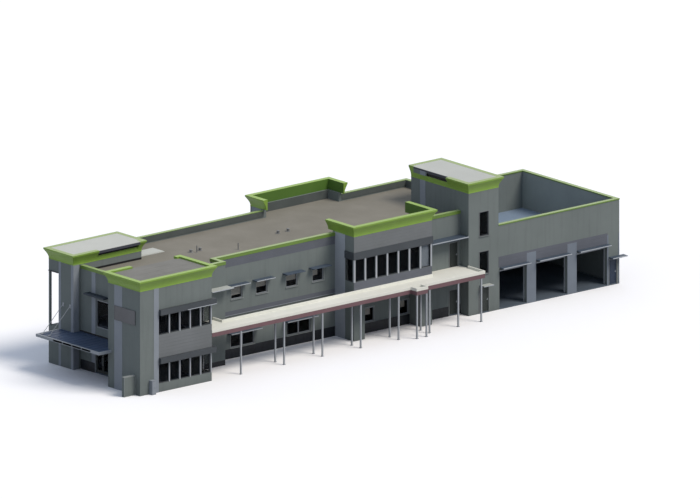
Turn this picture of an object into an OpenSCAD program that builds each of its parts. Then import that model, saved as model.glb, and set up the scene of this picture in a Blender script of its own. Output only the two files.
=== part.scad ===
// Two-storey administration building with a screened vehicle garage, a stair tower,
// a corner tower, an entrance wing and a long walkway canopy, as a 1:2 scale model.
// X runs along the front, Y into the depth and Z up; the ground is at z = 0.

/* [Walls and storeys] */
// Thickness of the outer walls
wall = 150; // [100:10:200]
// Top of the ground floor slab above the ground
ground_floor_top = 50; // [30:5:80]
// Top of the first floor slab above the ground
first_floor_top = 2100; // [2050:10:2200]
// Thickness of the first floor slab
floor_thick = 100; // [60:5:125]
// Thickness of the roof slabs
roof_thick = 125; // [80:5:140]
// Height of the main parapet over its roof
parapet_high = 325; // [200:5:400]
// Drop of the main parapet below the foot of the crowns
parapet_drop = 50; // [10:5:150]
// Height of the parapet coping
coping_high = 140; // [60:5:180]
// Overhang of the coping on each face of the wall
coping_over = 18; // [5:1:30]
// Joint between two lengths of coping
coping_joint = 3; // [2:0.5:6]

/* [Crowns] */
// Top of the walls under the flared crowns of the wing, the corner tower and the bays
crown_base = 4550; // [4520:5:4600]
// Height of a flared crown
crown_high = 450; // [350:10:550]
// How far a crown flares out past the wall
crown_flare = 165; // [100:5:220]
// Height of the plain fillet along the top edge of a crown
crown_lip = 60; // [30:5:90]
// Strips in the curve of a crown
crown_strips = 8; // [4:1:12]
// Depth of the top of a crown behind the wall face, up to the roof it holds
crown_inner = 60; // [50:5:120]

/* [Entrance wing] */
// Width of the wing front
wing_wide = 3950; // [3800:10:4100]
// Depth of the wing at its free side
wing_deep = 2075; // [2000:5:2200]
// Width of the blank pier at the left of the wing front
wing_pier = 1030; // [850:10:1150]
// Length of the glazing that turns the right corner
wing_return = 560; // [400:10:700]
// Sill of the lower wing glazing over the ground floor
wing_lower_sill = 325; // [200:5:400]
// Sill of the upper wing glazing over the first floor
wing_upper_sill = 375; // [250:5:450]
// Height of the wing glazing
wing_glazing = 875; // [700:5:900]
// Height of the header box over the wing glazing
header_high = 240; // [150:5:260]
// How far a header box stands out
header_out = 150; // [60:5:200]
// Distance between the posts of the wing glazing
wing_post_pitch = 590; // [500:10:700]
// Width of a glazing post
post_wide = 50; // [30:5:70]
// Length of the left return of the wing crown along the back
wing_crown_left = 1300; // [1000:50:1800]
// Length of the right return of the wing crown along the back
wing_crown_right = 200; // [100:10:600]
// Drop of the wing roof below the top of its crown
wing_roof_drop = 75; // [40:5:120]

/* [Entrance side] */
// Face of the entrance wall, set back from the free side of the wing
entry_x = 1050; // [900:10:1150]
// Near edge of the entrance doorway behind the wing front
entry_door_y = 3250; // [3000:10:3400]
// Width of the entrance doorway
entry_door_wide = 850; // [760:10:900]
// Height of the entrance doorway above its floor
entry_door_high = 1100; // [1050:10:1150]
// Sill of the tall window over the entrance
entry_window_sill = 2000; // [1800:10:2100]
// Height of the tall window over the entrance
entry_window_high = 1200; // [900:10:1300]
// Free edge of the entrance awning, left of the wing
awning_x = -700; // [-900:10:-500]
// Near end of the entrance awning
awning_y0 = 1850; // [1750:10:1950]
// Far end of the entrance awning
awning_y1 = 5950; // [5600:10:6100]
// Top of the entrance awning
awning_top = 1640; // [1500:10:1700]
// Height of the awning edge
awning_high = 120; // [60:5:150]
// Height of the hanger fixings on the corner tower
hanger_high = 2750; // [2500:10:3000]
// Distance of the hangers from the edges of the awning
hanger_inset = 200; // [120:10:300]
// Radius of a hanger rod
hanger_radius = 12; // [8:1:20]
// Length of the shelf over the tall window
entry_shelf_long = 1300; // [1200:10:1700]
// Width of the cabinet before the wing front
cabinet_wide = 220; // [150:5:300]
// Depth of the cabinet before the wing front
cabinet_deep = 200; // [120:5:260]
// Height of the cabinet before the wing front
cabinet_high = 600; // [400:10:700]
// Distance of the cabinet from the left corner of the wing
cabinet_x = 500; // [300:10:700]
// Reach of the low screen wall at the left of the wing
low_screen_out = 620; // [400:10:690]
// Height of the low screen wall
low_screen_high = 850; // [600:10:1000]
// Distance of the low screen wall behind the wing front
low_screen_y = 300; // [100:10:600]

/* [Corner tower] */
// Left face of the corner tower
tower_x0 = 650; // [600:10:700]
// Width of the corner tower
tower_wide = 3750; // [3600:10:3900]
// Front face of the corner tower
tower_y0 = 5100; // [5000:10:5200]
// Depth of the corner tower
tower_deep = 1600; // [1550:10:1650]
// Width of the open loggia at the back left corner
loggia_wide = 700; // [600:10:800]
// Depth of the open loggia at the back left corner
loggia_deep = 640; // [560:10:700]
// Floor of the loggia above the ground
loggia_floor = 1650; // [1500:10:1700]
// Height of the beam over the loggia
loggia_beam = 525; // [150:5:600]
// Thickness of the loggia corner post
loggia_post = 90; // [40:5:120]
// Length of the crown at the left of the tower front, before the roof slot
tower_crown_left = 1300; // [1000:50:1600]
// Length of the crown at the right of the tower front, after the roof slot
tower_crown_right = 200; // [150:10:400]
// Height of the flat band under the roof slot
tower_band_high = 190; // [120:5:240]
// Height of a tower roof edge
tower_roof_thick = 125; // [80:5:160]

/* [Main block] */
// Front face of the two link walls
link_y = 1600; // [1550:5:1700]
// Left end of the main front
main_x0 = 6050; // [5900:10:6200]
// Front face of the main front
main_y0 = 2250; // [2200:10:2350]
// Back face of the main block
main_y1 = 7050; // [6950:10:7150]
// Left end of the bays
bay_x0 = 12650; // [12550:10:12750]
// Width of the bays
bay_wide = 4300; // [4250:10:4350]
// Front face of the front bay
bay_y0 = 1025; // [980:5:1040]
// Back face of the rear bay
rear_bay_y1 = 7750; // [7600:10:7900]
// Width of each end pier under the front bay
bay_pier = 600; // [500:10:650]
// Face of the recessed ground wall between the piers
bay_recess_y = 1800; // [1700:10:1900]
// Sill of the bay glazing above the ground
bay_sill = 2550; // [2450:10:2650]
// Height of the bay glazing
bay_glazing = 985; // [900:5:1000]
// Height of the header band over the bay glazing
bay_header_high = 310; // [200:5:320]
// How far the header band of the bay stands out
bay_header_out = 40; // [20:5:80]
// Panes across a bay
bay_panes = 7; // [5:1:9]
// How far the crown of the front bay runs back over the roof
bay_crown_back = 450; // [400:10:700]
// How far the crown of the rear bay runs forward over the roof
rear_crown_forward = 350; // [200:10:1000]

/* [Main windows] */
// Left edges of the upper windows
upper_window_xs = [6925, 8300, 9950, 11400];
// Width of an upper window
upper_window_wide = 625; // [500:5:700]
// Sill of the upper windows above the ground
upper_window_sill = 2550; // [2450:10:2650]
// Height of an upper window
upper_window_high = 600; // [500:10:700]
// Left edges of the ground window pairs
ground_window_xs = [6900, 10000];
// Width of a ground window pair
ground_window_wide = 1300; // [1100:10:1400]
// Sill of the ground windows above the ground
ground_window_sill = 450; // [400:10:500]
// Height of a ground window
ground_window_high = 625; // [500:5:700]
// Left edges of the windows under the bay
recess_window_xs = [13900, 15800];
// Width of a window under the bay
recess_window_wide = 525; // [400:5:540]
// How far a sunshade reaches past a window at each side
shade_side = 200; // [100:10:220]
// How far a sunshade stands out from the wall
shade_out = 300; // [200:10:350]
// Thickness of a sunshade or wall awning
shade_thick = 40; // [25:5:60]
// Gap between a window head and its sunshade
shade_gap = 25; // [0:5:40]
// Thickness of the glass
glass_thick = 20; // [10:1:25]
// Joint between two sheets of glass at a corner
glass_joint = 3; // [2:0.5:6]
// Height of the awnings on the link walls and of the shelf over the first floor
link_awning_rise = 1300; // [1200:10:1400]
// Length of the awning on the left link wall
left_awning_long = 1200; // [900:10:1400]
// How far that awning runs past the corner of the main front
left_awning_past = 100; // [0:10:200]
// How far the awning on the left link wall stands out
left_awning_out = 450; // [300:10:550]
// How far the awning on the right link wall stands out
right_awning_out = 540; // [350:10:560]
// Thickness of the awning on the right link wall
right_awning_thick = 60; // [30:5:80]
// Gap between the front bay and the awning on the right link wall
right_awning_gap = 50; // [10:5:100]

/* [Doors] */
// Height of a single doorway above its floor
door_high = 1050; // [1000:10:1100]
// Thickness of a door leaf
leaf_thick = 25; // [20:1:30]
// Clearance round a door leaf
leaf_gap = 7; // [7:1:10]
// How far a door leaf is set back from the wall face
leaf_back = 30; // [10:5:60]
// Width of the frame of a glazed leaf; its bottom rail is twice as high
leaf_frame = 55; // [40:5:70]
// Thickness of the glass in a leaf
leaf_glass = 10; // [6:1:16]
// Gap between the head of a single doorway and its awning
door_awning_gap = 100; // [40:5:200]
// How far the awning over the stair tower door reaches past the right of the doorway
door_awning_side = 50; // [20:5:200]
// Radius of a hinge barrel
hinge_radius = 5; // [4:0.5:6]
// Height of a hinge
hinge_high = 50; // [30:5:80]
// Distance of the end hinges from the top and the bottom of a leaf
hinge_inset = 110; // [80:5:200]
// Running clearance between a leaf and its hinge barrels
hinge_gap = 0.3; // [0.2:0.1:0.5]
// Width of the doorways in the right link wall
link_door_wide = 450; // [400:10:500]
// Distance of the doorways in the right link wall from the front bay
link_door_from_bay = 1450; // [1300:10:1530]

/* [Stair tower] */
// Width of the right link, from the front bay to the stair tower
right_link_wide = 2050; // [2040:10:2200]
// Width of the stair tower
stair_wide = 1650; // [1600:10:1700]
// Front face of the stair tower and of the garage
stair_y0 = 1065; // [1040:5:1100]
// Depth of the stair tower
stair_deep = 3735; // [3600:5:3900]
// Top of the stair tower walls under the crown
stair_crown_base = 5340; // [5250:10:5450]
// Left edge of the stair tower windows and door, from its left face
stair_opening = 600; // [500:10:650]
// Width of the stair tower windows and door
stair_opening_wide = 500; // [420:10:540]
// Sills of the two stair tower windows
stair_window_sills = [1700, 3350];
// Heights of the two stair tower windows
stair_window_highs = [975, 1050];
// Length of the crown along the left face of the stair tower
stair_crown_side = 1300; // [1000:50:2200]

/* [Garage] */
// Width of the garage
garage_wide = 6650; // [6600:10:6750]
// Back face of the garage
garage_y1 = 7325; // [7250:5:7450]
// Top of the screen wall round the garage roof
screen_top = 3700; // [3500:10:3800]
// Height of the coping on the screen wall
screen_coping_high = 50; // [30:5:70]
// Top of the garage roof deck
deck_top = 2075; // [2040:5:2150]
// Head of the vehicle bays above the ground
vehicle_head = 1775; // [1700:5:1850]
// Width of the jamb at the left of the first vehicle bay
garage_jamb = 50; // [40:5:80]
// Widths of the three vehicle bays
vehicle_wides = [1500, 1725, 1675];
// Width of the piers between the vehicle bays
vehicle_pier = 512; // [450:2:520]
// Width of the jamb between the last bay and the side door
side_door_jamb = 126; // [80:2:150]
// Width of the side doorway
side_door_wide = 400; // [360:10:420]
// How far the awning over the side door starts before the doorway
side_awning_start = 40; // [20:5:100]
// How far the awning over the side door runs past the end of the garage
side_awning_past = 225; // [200:5:500]
// Gap between the head of a vehicle bay and its awning
bay_awning_gap = 10; // [0:5:40]
// How far a vehicle bay's awning runs past the right of the bay
bay_awning_past = 40; // [0:5:100]
// How far a vehicle bay's awning stands out
bay_awning_out = 260; // [200:10:350]

/* [Walkway canopy] */
// Top of the canopy roof
canopy_top = 2100; // [2000:5:2100]
// Height of the canopy roof edge
canopy_high = 210; // [120:5:220]
// Front edge of the canopy, before the wing front
canopy_y0 = -25; // [-60:5:40]
// Right edge of the deeper left end of the canopy, which reaches the left link wall
canopy_step_x = 5400; // [4800:10:5800]
// Width of the kerb along the edges of the canopy
kerb_wide = 60; // [40:5:90]
// Height of the kerb above the canopy roof
kerb_high = 100; // [60:5:140]
// Joint between two lengths of kerb
kerb_joint = 3; // [2:0.5:6]
// Width of a canopy column
column_wide = 60; // [40:5:80]
// Lines of the front columns along the front
front_column_xs = [5580, 7960, 10070, 12180, 14265, 15970, 17550, 18820];
// Lines of the back columns along the front
back_column_xs = [7960, 10070, 12180, 14265, 15970];
// Line of the back columns behind the wing front
back_column_y = 575; // [500:5:650]
// Distance of the porch from the left end of the front bay
porch_from_bay = 2250; // [1900:10:2500]
// Width of the porch
porch_wide = 640; // [600:10:800]
// How far the porch stands out
porch_out = 375; // [300:5:450]
// Distance of the porch columns behind the front edge of the porch
porch_column_back = 20; // [5:5:60]

/* [Roof vents] */
// Places of the vents along the main roof, from the left end of the main front
vent_places = [650, 1150, 5450, 6000];
// Distance of the vents behind the main front
vent_row = 2350; // [1800:50:3000]
// Radius of a vent
vent_radius = 60; // [40:5:80]
// Height of a vent
vent_high = 90; // [60:5:150]
// Places of the vent pipes, from the left end of the main front and behind it
pipe_places = [[850, 2200], [2450, 1400]];
// Radius of a vent pipe
pipe_radius = 22; // [15:1:30]
// Height of a vent pipe
pipe_high = 260; // [150:10:350]

/* [Hidden] */

$fn = 32;
far = 100000;

wall_grey = [0.43, 0.46, 0.46];
crown_green = [0.46, 0.59, 0.24];
trim_grey = [0.55, 0.58, 0.62];
dark_metal = [0.25, 0.27, 0.30];
glass_dark = [0.10, 0.11, 0.14];
roof_light = [0.75, 0.76, 0.75];
roof_tan = [0.55, 0.53, 0.49];
canopy_white = [0.90, 0.90, 0.86];
awning_blue = [0.25, 0.33, 0.44];

storey_split = first_floor_top - floor_thick;
parapet_top = crown_base - parapet_drop;
porch_x0 = bay_x0 + porch_from_bay;
porch_x1 = porch_x0 + porch_wide;
porch_y0 = canopy_y0 - porch_out;
parapet_base = parapet_top - coping_high;
main_roof_top = parapet_top - parapet_high;
roof_base = main_roof_top - roof_thick;
crown_top = crown_base + crown_high;
link_awning_z = first_floor_top + link_awning_rise;

tower_x1 = tower_x0 + tower_wide;
tower_y1 = tower_y0 + tower_deep;
slot_x0 = tower_x0 + tower_crown_left;
slot_x1 = tower_x1 - tower_crown_right;
loggia_x1 = tower_x0 + loggia_wide;
loggia_y0 = tower_y1 - loggia_deep;
loggia_head = crown_base - loggia_beam;
bay_x1 = bay_x0 + bay_wide;
stair_x0 = bay_x1 + right_link_wide;
stair_x1 = stair_x0 + stair_wide;
stair_y1 = stair_y0 + stair_deep;
stair_door_x = stair_x0 + stair_opening;
stair_top = stair_crown_base + crown_high;
link_door_x = bay_x1 + link_door_from_bay;
link_door_x1 = link_door_x + link_door_wide;
entry_door_y1 = entry_door_y + entry_door_wide;
garage_x1 = stair_x1 + garage_wide;
main_left_x = main_x0 - wall;

// Left edges of the vehicle bays, counted from the jamb
function vehicle_x(i) = i == 0
    ? stair_x1 + garage_jamb
    : vehicle_x(i - 1) + vehicle_wides[i - 1] + vehicle_pier;
vehicle_end = vehicle_x(2) + vehicle_wides[2];
side_door_x = vehicle_end + side_door_jamb;

door_sill = ground_floor_top + leaf_gap;
single_head = ground_floor_top + door_high;
entry_head = ground_floor_top + entry_door_high;

wing_sills = [ground_floor_top + wing_lower_sill, first_floor_top + wing_upper_sill];
bay_head = bay_sill + bay_glazing;
// Depth of the glass behind the face of a wall: it sits in the middle
glass_inset = (wall - glass_thick) / 2;

// The frame's origin: the middle of the ground under the whole building
origin_x = (awning_x + garage_x1 + side_awning_past) / 2;
origin_y = (porch_y0 + rear_bay_y1 + crown_flare) / 2;

// ---------------------------------------------------------------- building blocks

module placed() {
    translate([-origin_x, -origin_y, 0]) children();
}

// A box between two opposite corners
module block(low, high) {
    translate(low) cube(high - low);
}

// A slab with the given outline between two heights
module plate(outline, low_z, high_z) {
    translate([0, 0, low_z]) linear_extrude(high_z - low_z) polygon(outline);
}

// How far a crown stands out at a share of its height: a quarter-ellipse cove
function cove(share) = crown_flare * (1 - cos(90 * share));

// Side outline of a crown between two wall faces, flared at each face that is asked for
function crown_outline(low, high, flare_low, flare_high, high_z) =
    let (curve_high = high_z - crown_lip)
    concat(
        [for (i = [0 : crown_strips])
            [low - flare_low * cove(i / crown_strips), curve_high * i / crown_strips]],
        [[low - flare_low * crown_flare, high_z], [high + flare_high * crown_flare, high_z]],
        [for (i = [crown_strips : -1 : 0])
            [high + flare_high * cove(i / crown_strips), curve_high * i / crown_strips]]
    );

// A flared crown round a rectangle; flares = [left, right, front, back], 1 or 0 each.
// It is where two coved bars cross, so that its corners are mitred. Its top is thinner for
// the height of the rebate, so that a roof lies on the ledge inside.
module crown(x0, x1, y0, y1, base, flares, rebate) {
    thin = crown_inner;
    translate([0, 0, base]) difference() {
        intersection() {
            translate([0, y1 + 2 * crown_flare, 0]) rotate([90, 0, 0])
                linear_extrude(y1 - y0 + 4 * crown_flare)
                    polygon(crown_outline(x0, x1, flares[0], flares[1], crown_high));
            translate([x0 - 2 * crown_flare, 0, 0]) rotate([90, 0, 90])
                linear_extrude(x1 - x0 + 4 * crown_flare)
                    polygon(crown_outline(y0, y1, flares[2], flares[3], crown_high));
        }
        block([x0 + wall, y0 + wall, -1], [x1 - wall, y1 - wall, crown_high + 1]);
        block([x0 + thin, y0 + thin, crown_high - rebate],
            [x1 - thin, y1 - thin, crown_high + 1]);
    }
}

// A hinged leaf in a doorway of a wall that faces -Y, between two heights
module leaf(x0, x1, y, low_z, high_z) {
    block([x0 + leaf_gap, y + leaf_back, low_z],
        [x1 - leaf_gap, y + leaf_back + leaf_thick, high_z - leaf_gap]);
}

// A pane in the middle of a wall that faces -Y
module pane(x0, x1, y, low_z, high_z) {
    block([x0, y + glass_inset, low_z], [x1, y + glass_inset + glass_thick, high_z]);
}

// ---------------------------------------------------------------- floors and roofs

// Inner outline of the main block, shared by its floors and its roof
function main_outline(start) = concat(start, [
    [main_left_x, link_y + wall],
    [main_left_x, main_y0 + wall],
    [bay_x0 + wall, main_y0 + wall],
    [bay_x0 + wall, bay_y0 + wall],
    [bay_x1 - wall, bay_y0 + wall],
    [bay_x1 - wall, link_y + wall],
    [stair_x0, link_y + wall],
    [stair_x0, stair_y1],
    [stair_x1 - wall, stair_y1],
    [stair_x1 - wall, main_y1 - wall],
    [bay_x1 - wall, main_y1 - wall],
    [bay_x1 - wall, rear_bay_y1 - wall],
    [bay_x0 + wall, rear_bay_y1 - wall],
    [bay_x0 + wall, main_y1 - wall],
    [tower_x1, main_y1 - wall],
    [tower_x1, tower_y0],
    [entry_x + wall, tower_y0]
]);

// The wing is open to the main block behind it
wing_start = [
    [entry_x + wall, wing_deep - wall],
    [wall, wing_deep - wall],
    [wall, wall],
    [wing_wide - wall, wall],
    [wing_wide - wall, link_y + wall]
];

module ground_floor() {
    color("gray") placed() {
        difference() {
            plate(main_outline(wing_start), 0, ground_floor_top);
            block([bay_x0 + bay_pier - wall, bay_y0, -1],
                [bay_x1 - bay_pier + wall, bay_recess_y + wall, ground_floor_top + 1]);
        }
        block([entry_x, entry_door_y, 0], [entry_x + wall, entry_door_y1, ground_floor_top]);
        block([link_door_x, link_y, 0], [link_door_x1, link_y + wall, ground_floor_top]);
        block([tower_x0 + wall, tower_y0 + wall, 0],
            [tower_x1 - wall, tower_y1 - wall, ground_floor_top]);
        block([stair_x0 + wall, stair_y0 + wall, 0],
            [stair_x1 - wall, stair_y1 - wall, ground_floor_top]);
        block([stair_door_x, stair_y0, 0],
            [stair_door_x + stair_opening_wide, stair_y0 + wall, ground_floor_top]);
        block([stair_x1, stair_y0 + wall, 0],
            [garage_x1 - wall, garage_y1 - wall, ground_floor_top]);
        for (i = [0 : 2])
            block([vehicle_x(i), stair_y0, 0],
                [vehicle_x(i) + vehicle_wides[i], stair_y0 + wall, ground_floor_top]);
        block([side_door_x, stair_y0, 0],
            [side_door_x + side_door_wide, stair_y0 + wall, ground_floor_top]);
    }
}

module first_floor() {
    color("gray") placed() {
        plate(main_outline(wing_start), storey_split, first_floor_top);
        block([link_door_x, link_y, storey_split],
            [link_door_x1, link_y + wall, first_floor_top]);
    }
}

module main_roof() {
    start = [
        [entry_x + wall, wing_deep],
        [wing_wide, wing_deep],
        [wing_wide, link_y + wall]
    ];
    color(roof_tan) placed() plate(main_outline(start), roof_base, main_roof_top);
}

module wing_roof() {
    top = crown_top - wing_roof_drop;
    color(roof_tan) placed() {
        block([crown_inner, crown_inner, top - roof_thick],
            [wing_wide - crown_inner, wing_deep - crown_inner, top]);
        block([wing_crown_left, wing_deep - crown_inner, top - roof_thick],
            [wing_wide - wing_crown_right, wing_deep, top]);
    }
}

module tower_roofs() {
    low = crown_top - tower_roof_thick;
    stair_low = stair_top - tower_roof_thick;
    thin = crown_inner;
    flat_y = stair_y0 + stair_crown_side;
    color(roof_light) placed() {
        plate([
            [tower_x0 + thin, tower_y0 + thin],
            [slot_x0, tower_y0 + thin],
            [slot_x0, tower_y0 - crown_flare],
            [slot_x1, tower_y0 - crown_flare],
            [slot_x1, tower_y0 + thin],
            [tower_x1 - thin, tower_y0 + thin],
            [tower_x1 - thin, tower_y1 - thin],
            [tower_x0 + thin, tower_y1 - thin]
        ], low, crown_top);
        plate([
            [stair_x0 + thin, stair_y0 + thin],
            [stair_x1 - thin, stair_y0 + thin],
            [stair_x1 - thin, stair_y1 - thin],
            [stair_x0 + thin, stair_y1 - thin],
            [stair_x0 + thin, stair_y1 - wall],
            [stair_x0, stair_y1 - wall],
            [stair_x0, flat_y],
            [stair_x0 + thin, flat_y]
        ], stair_low, stair_top);
    }
}

module garage_deck() {
    color(roof_light) placed()
        block([stair_x1, stair_y0 + wall, deck_top - roof_thick],
            [garage_x1 - wall, garage_y1 - wall, deck_top]);
}

// ---------------------------------------------------------------- entrance wing

module wing_front_wall() {
    color(wall_grey) placed() difference() {
        block([0, 0, 0], [wing_wide, wall, crown_base]);
        for (sill = wing_sills)
            block([wing_pier, -1, sill], [wing_wide + 1, wall + 1, sill + wing_glazing]);
    }
}

module wing_side_walls() {
    beam_low = roof_base;
    roof_low = crown_top - wing_roof_drop - roof_thick;
    color(wall_grey) placed() {
        block([0, wall, 0], [wall, wing_deep, crown_base]);
        block([wall, wing_deep - wall, 0], [entry_x + wall, wing_deep, crown_base]);
        block([entry_x + wall, wing_deep - wall, beam_low], [wing_wide, wing_deep, crown_base]);
        block([wing_crown_left, wing_deep - wall, crown_base],
            [wing_wide - wing_crown_right, wing_deep, roof_low]);
        block([wing_wide - wall, link_y + wall, beam_low],
            [wing_wide, wing_deep - wall, crown_base]);
        difference() {
            block([wing_wide - wall, wall, 0], [wing_wide, link_y + wall, crown_base]);
            for (sill = wing_sills)
                block([wing_wide - wall - 1, wall - 1, sill],
                    [wing_wide + 1, wing_return, sill + wing_glazing]);
        }
    }
}

module wing_crown() {
    color(crown_green) placed() difference() {
        crown(0, wing_wide, 0, wing_deep, crown_base, [1, 1, 1, 1],
            wing_roof_drop + roof_thick);
        block([wing_crown_left, wing_deep - wall - 1, crown_base - 1],
            [wing_wide - wing_crown_right, wing_deep + far, crown_top + 1]);
    }
}

module wing_posts() {
    spare = wing_wide - wing_pier - post_wide;
    posts = round(spare / wing_post_pitch);
    color(trim_grey) placed() for (sill = wing_sills) {
        for (i = [1 : posts])
            block([wing_pier + spare * i / posts, 0, sill],
                [wing_pier + spare * i / posts + post_wide, glass_inset,
                    sill + wing_glazing]);
        block([wing_wide - glass_inset, wing_return - post_wide, sill],
            [wing_wide, wing_return, sill + wing_glazing]);
    }
}

// Header boxes over the glazed bands of the wing and of the front bay
module glazing_headers() {
    color(dark_metal) placed() {
        for (sill = wing_sills)
            wing_header(sill + wing_glazing);
        block([bay_x0 + wall, bay_y0 - bay_header_out, bay_head],
            [bay_x1 - wall, bay_y0, bay_head + bay_header_high]);
    }
}

// A header box of the wing: it runs along the front and round the right corner
module wing_header(base) {
    block([wing_pier, -header_out, base],
        [wing_wide + header_out, 0, base + header_high]);
    block([wing_wide, 0, base],
        [wing_wide + header_out, wing_return, base + header_high]);
}

// ---------------------------------------------------------------- entrance side

module entrance_wall_beside_door() {
    color(wall_grey) placed() {
        block([entry_x, wing_deep, 0], [entry_x + wall, entry_door_y, parapet_base]);
        block([entry_x, entry_door_y1, 0], [entry_x + wall, tower_y0, parapet_base]);
    }
}

module entrance_wall_over_door() {
    color(wall_grey) placed() {
        block([entry_x, entry_door_y, entry_head],
            [entry_x + wall, entry_door_y1, entry_window_sill]);
        block([entry_x, entry_door_y, entry_window_sill + entry_window_high],
            [entry_x + wall, entry_door_y1, parapet_base]);
    }
}

module entrance_awning() {
    awning_low = awning_top - awning_high;
    color(awning_blue) placed() {
        difference() {
            block([awning_x, awning_y0, awning_low], [entry_x, awning_y1, awning_top]);
            block([0, awning_y0 - 1, awning_low - 1],
                [entry_x + 1, wing_deep, awning_top + 1]);
            block([tower_x0, tower_y0, awning_low - 1],
                [entry_x + 1, awning_y1 + 1, awning_top + 1]);
        }
    }
}

module awning_hangers() {
    rise = hanger_high - awning_top;
    reach = tower_x0 - awning_x - hanger_inset;
    color(dark_metal) placed() intersection() {
        block([awning_x, tower_y0, awning_top], [tower_x0, awning_y1, hanger_high + wall]);
        for (y = [tower_y0 + hanger_inset, awning_y1 - hanger_inset])
            translate([awning_x + hanger_inset, y, awning_top])
                rotate([0, atan2(reach, rise), 0])
                    translate([0, 0, -wall])
                        cylinder(r = hanger_radius, h = norm([reach, rise]) + 2 * wall);
    }
}

// Leaves of the entrance doors: each is hung at its own jamb, and they meet in the middle
module entrance_leaf(y0, y1) {
    low = [entry_x + leaf_back, y0, door_sill];
    high = [entry_x + leaf_back + leaf_thick, y1, entry_head - leaf_gap];
    difference() {
        block(low, high);
        block([low[0] - 1, y0 + leaf_frame, door_sill + 2 * leaf_frame],
            [high[0] + 1, y1 - leaf_frame, high[2] - leaf_frame]);
    }
}

module entrance_pane(y0, y1) {
    face = entry_x + leaf_back + (leaf_thick - leaf_glass) / 2;
    block([face, y0 + leaf_frame, door_sill + 2 * leaf_frame],
        [face + leaf_glass, y1 - leaf_frame, entry_head - leaf_gap - leaf_frame]);
}

entry_middle = entry_door_y + entry_door_wide / 2;
near_leaf = [entry_door_y + leaf_gap, entry_middle - leaf_gap / 2];
far_leaf = [entry_middle + leaf_gap / 2, entry_door_y1 - leaf_gap];

module entrance_door_near() {
    color(dark_metal) placed() entrance_leaf(near_leaf[0], near_leaf[1]);
}

module entrance_pane_near() {
    color(glass_dark) placed() entrance_pane(near_leaf[0], near_leaf[1]);
}

module entrance_door_far() {
    color(dark_metal) placed() entrance_leaf(far_leaf[0], far_leaf[1]);
}

module entrance_pane_far() {
    color(glass_dark) placed() entrance_pane(far_leaf[0], far_leaf[1]);
}

// ---------------------------------------------------------------- corner tower

module corner_tower_side_walls() {
    color(wall_grey) placed() {
        block([tower_x0, tower_y0 + wall, 0], [tower_x0 + wall, loggia_y0, crown_base]);
        block([tower_x1 - wall, tower_y0 + wall, 0],
            [tower_x1, tower_y1 - wall, crown_base]);
    }
}

module corner_tower_end_walls() {
    color(wall_grey) placed() {
        block([tower_x0, tower_y0, 0], [tower_x1, tower_y0 + wall, crown_base]);
        block([loggia_x1, tower_y1 - wall, 0], [tower_x1, tower_y1, crown_base]);
    }
}

// The open corner: a solid storey below, inner walls, a corner post and a beam above
module corner_tower_loggia() {
    color(wall_grey) placed() {
        corner(0, loggia_floor);
        corner(loggia_head, crown_base);
        block([tower_x0 + wall, loggia_y0, loggia_floor - roof_thick],
            [loggia_x1, tower_y1 - wall, loggia_floor]);
        block([tower_x0 + wall, loggia_y0, loggia_floor],
            [loggia_x1, loggia_y0 + wall / 2, crown_base]);
        block([loggia_x1 - wall / 2, loggia_y0, loggia_floor],
            [loggia_x1, tower_y1 - wall, crown_base]);
        block([tower_x0, tower_y1 - loggia_post, loggia_floor],
            [tower_x0 + loggia_post, tower_y1, loggia_head]);
    }
}

// The two outer walls of the corner between two heights
module corner(low_z, high_z) {
    block([tower_x0, loggia_y0, low_z], [tower_x0 + wall, tower_y1, high_z]);
    block([tower_x0, tower_y1 - wall, low_z], [loggia_x1, tower_y1, high_z]);
}

module corner_tower_crown() {
    color(crown_green) placed() difference() {
        crown(tower_x0, tower_x1, tower_y0, tower_y1, crown_base, [1, 1, 1, 1],
            tower_roof_thick);
        block([slot_x0, tower_y0 - far, crown_base - 1],
            [slot_x1, tower_y0, crown_top + 1]);
        block([slot_x0, tower_y0 - 1, crown_base + tower_band_high],
            [slot_x1, tower_y0 + wall + 1, crown_top + 1]);
    }
}

// ---------------------------------------------------------------- main front

module left_link_wall() {
    color(wall_grey) placed() {
        block([wing_wide, link_y, 0], [main_x0, link_y + wall, parapet_base]);
        block([main_left_x, link_y + wall, 0], [main_x0, main_y0, parapet_base]);
    }
}

module main_front_wall_ground() {
    color(wall_grey) placed() difference() {
        block([main_left_x, main_y0, 0], [bay_x0, main_y0 + wall, storey_split]);
        for (x = ground_window_xs)
            block([x, main_y0 - 1, ground_window_sill],
                [x + ground_window_wide, main_y0 + wall + 1,
                    ground_window_sill + ground_window_high]);
    }
}

module main_front_wall_upper() {
    color(wall_grey) placed() difference() {
        block([main_left_x, main_y0, storey_split], [bay_x0, main_y0 + wall, parapet_base]);
        for (x = upper_window_xs)
            block([x, main_y0 - 1, upper_window_sill],
                [x + upper_window_wide, main_y0 + wall + 1,
                    upper_window_sill + upper_window_high]);
    }
}

// A flat sunshade over a window of a wall that faces -Y
module sunshade(x, wide, y, head) {
    block([x - shade_side, y - shade_out, head + shade_gap],
        [x + wide + shade_side, y, head + shade_gap + shade_thick]);
}

module window_sunshades() {
    color(trim_grey) placed() {
        for (x = upper_window_xs)
            sunshade(x, upper_window_wide, main_y0, upper_window_sill + upper_window_high);
        for (x = ground_window_xs)
            sunshade(x, ground_window_wide, main_y0, ground_window_sill + ground_window_high);
    }
}

// ---------------------------------------------------------------- bays

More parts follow.
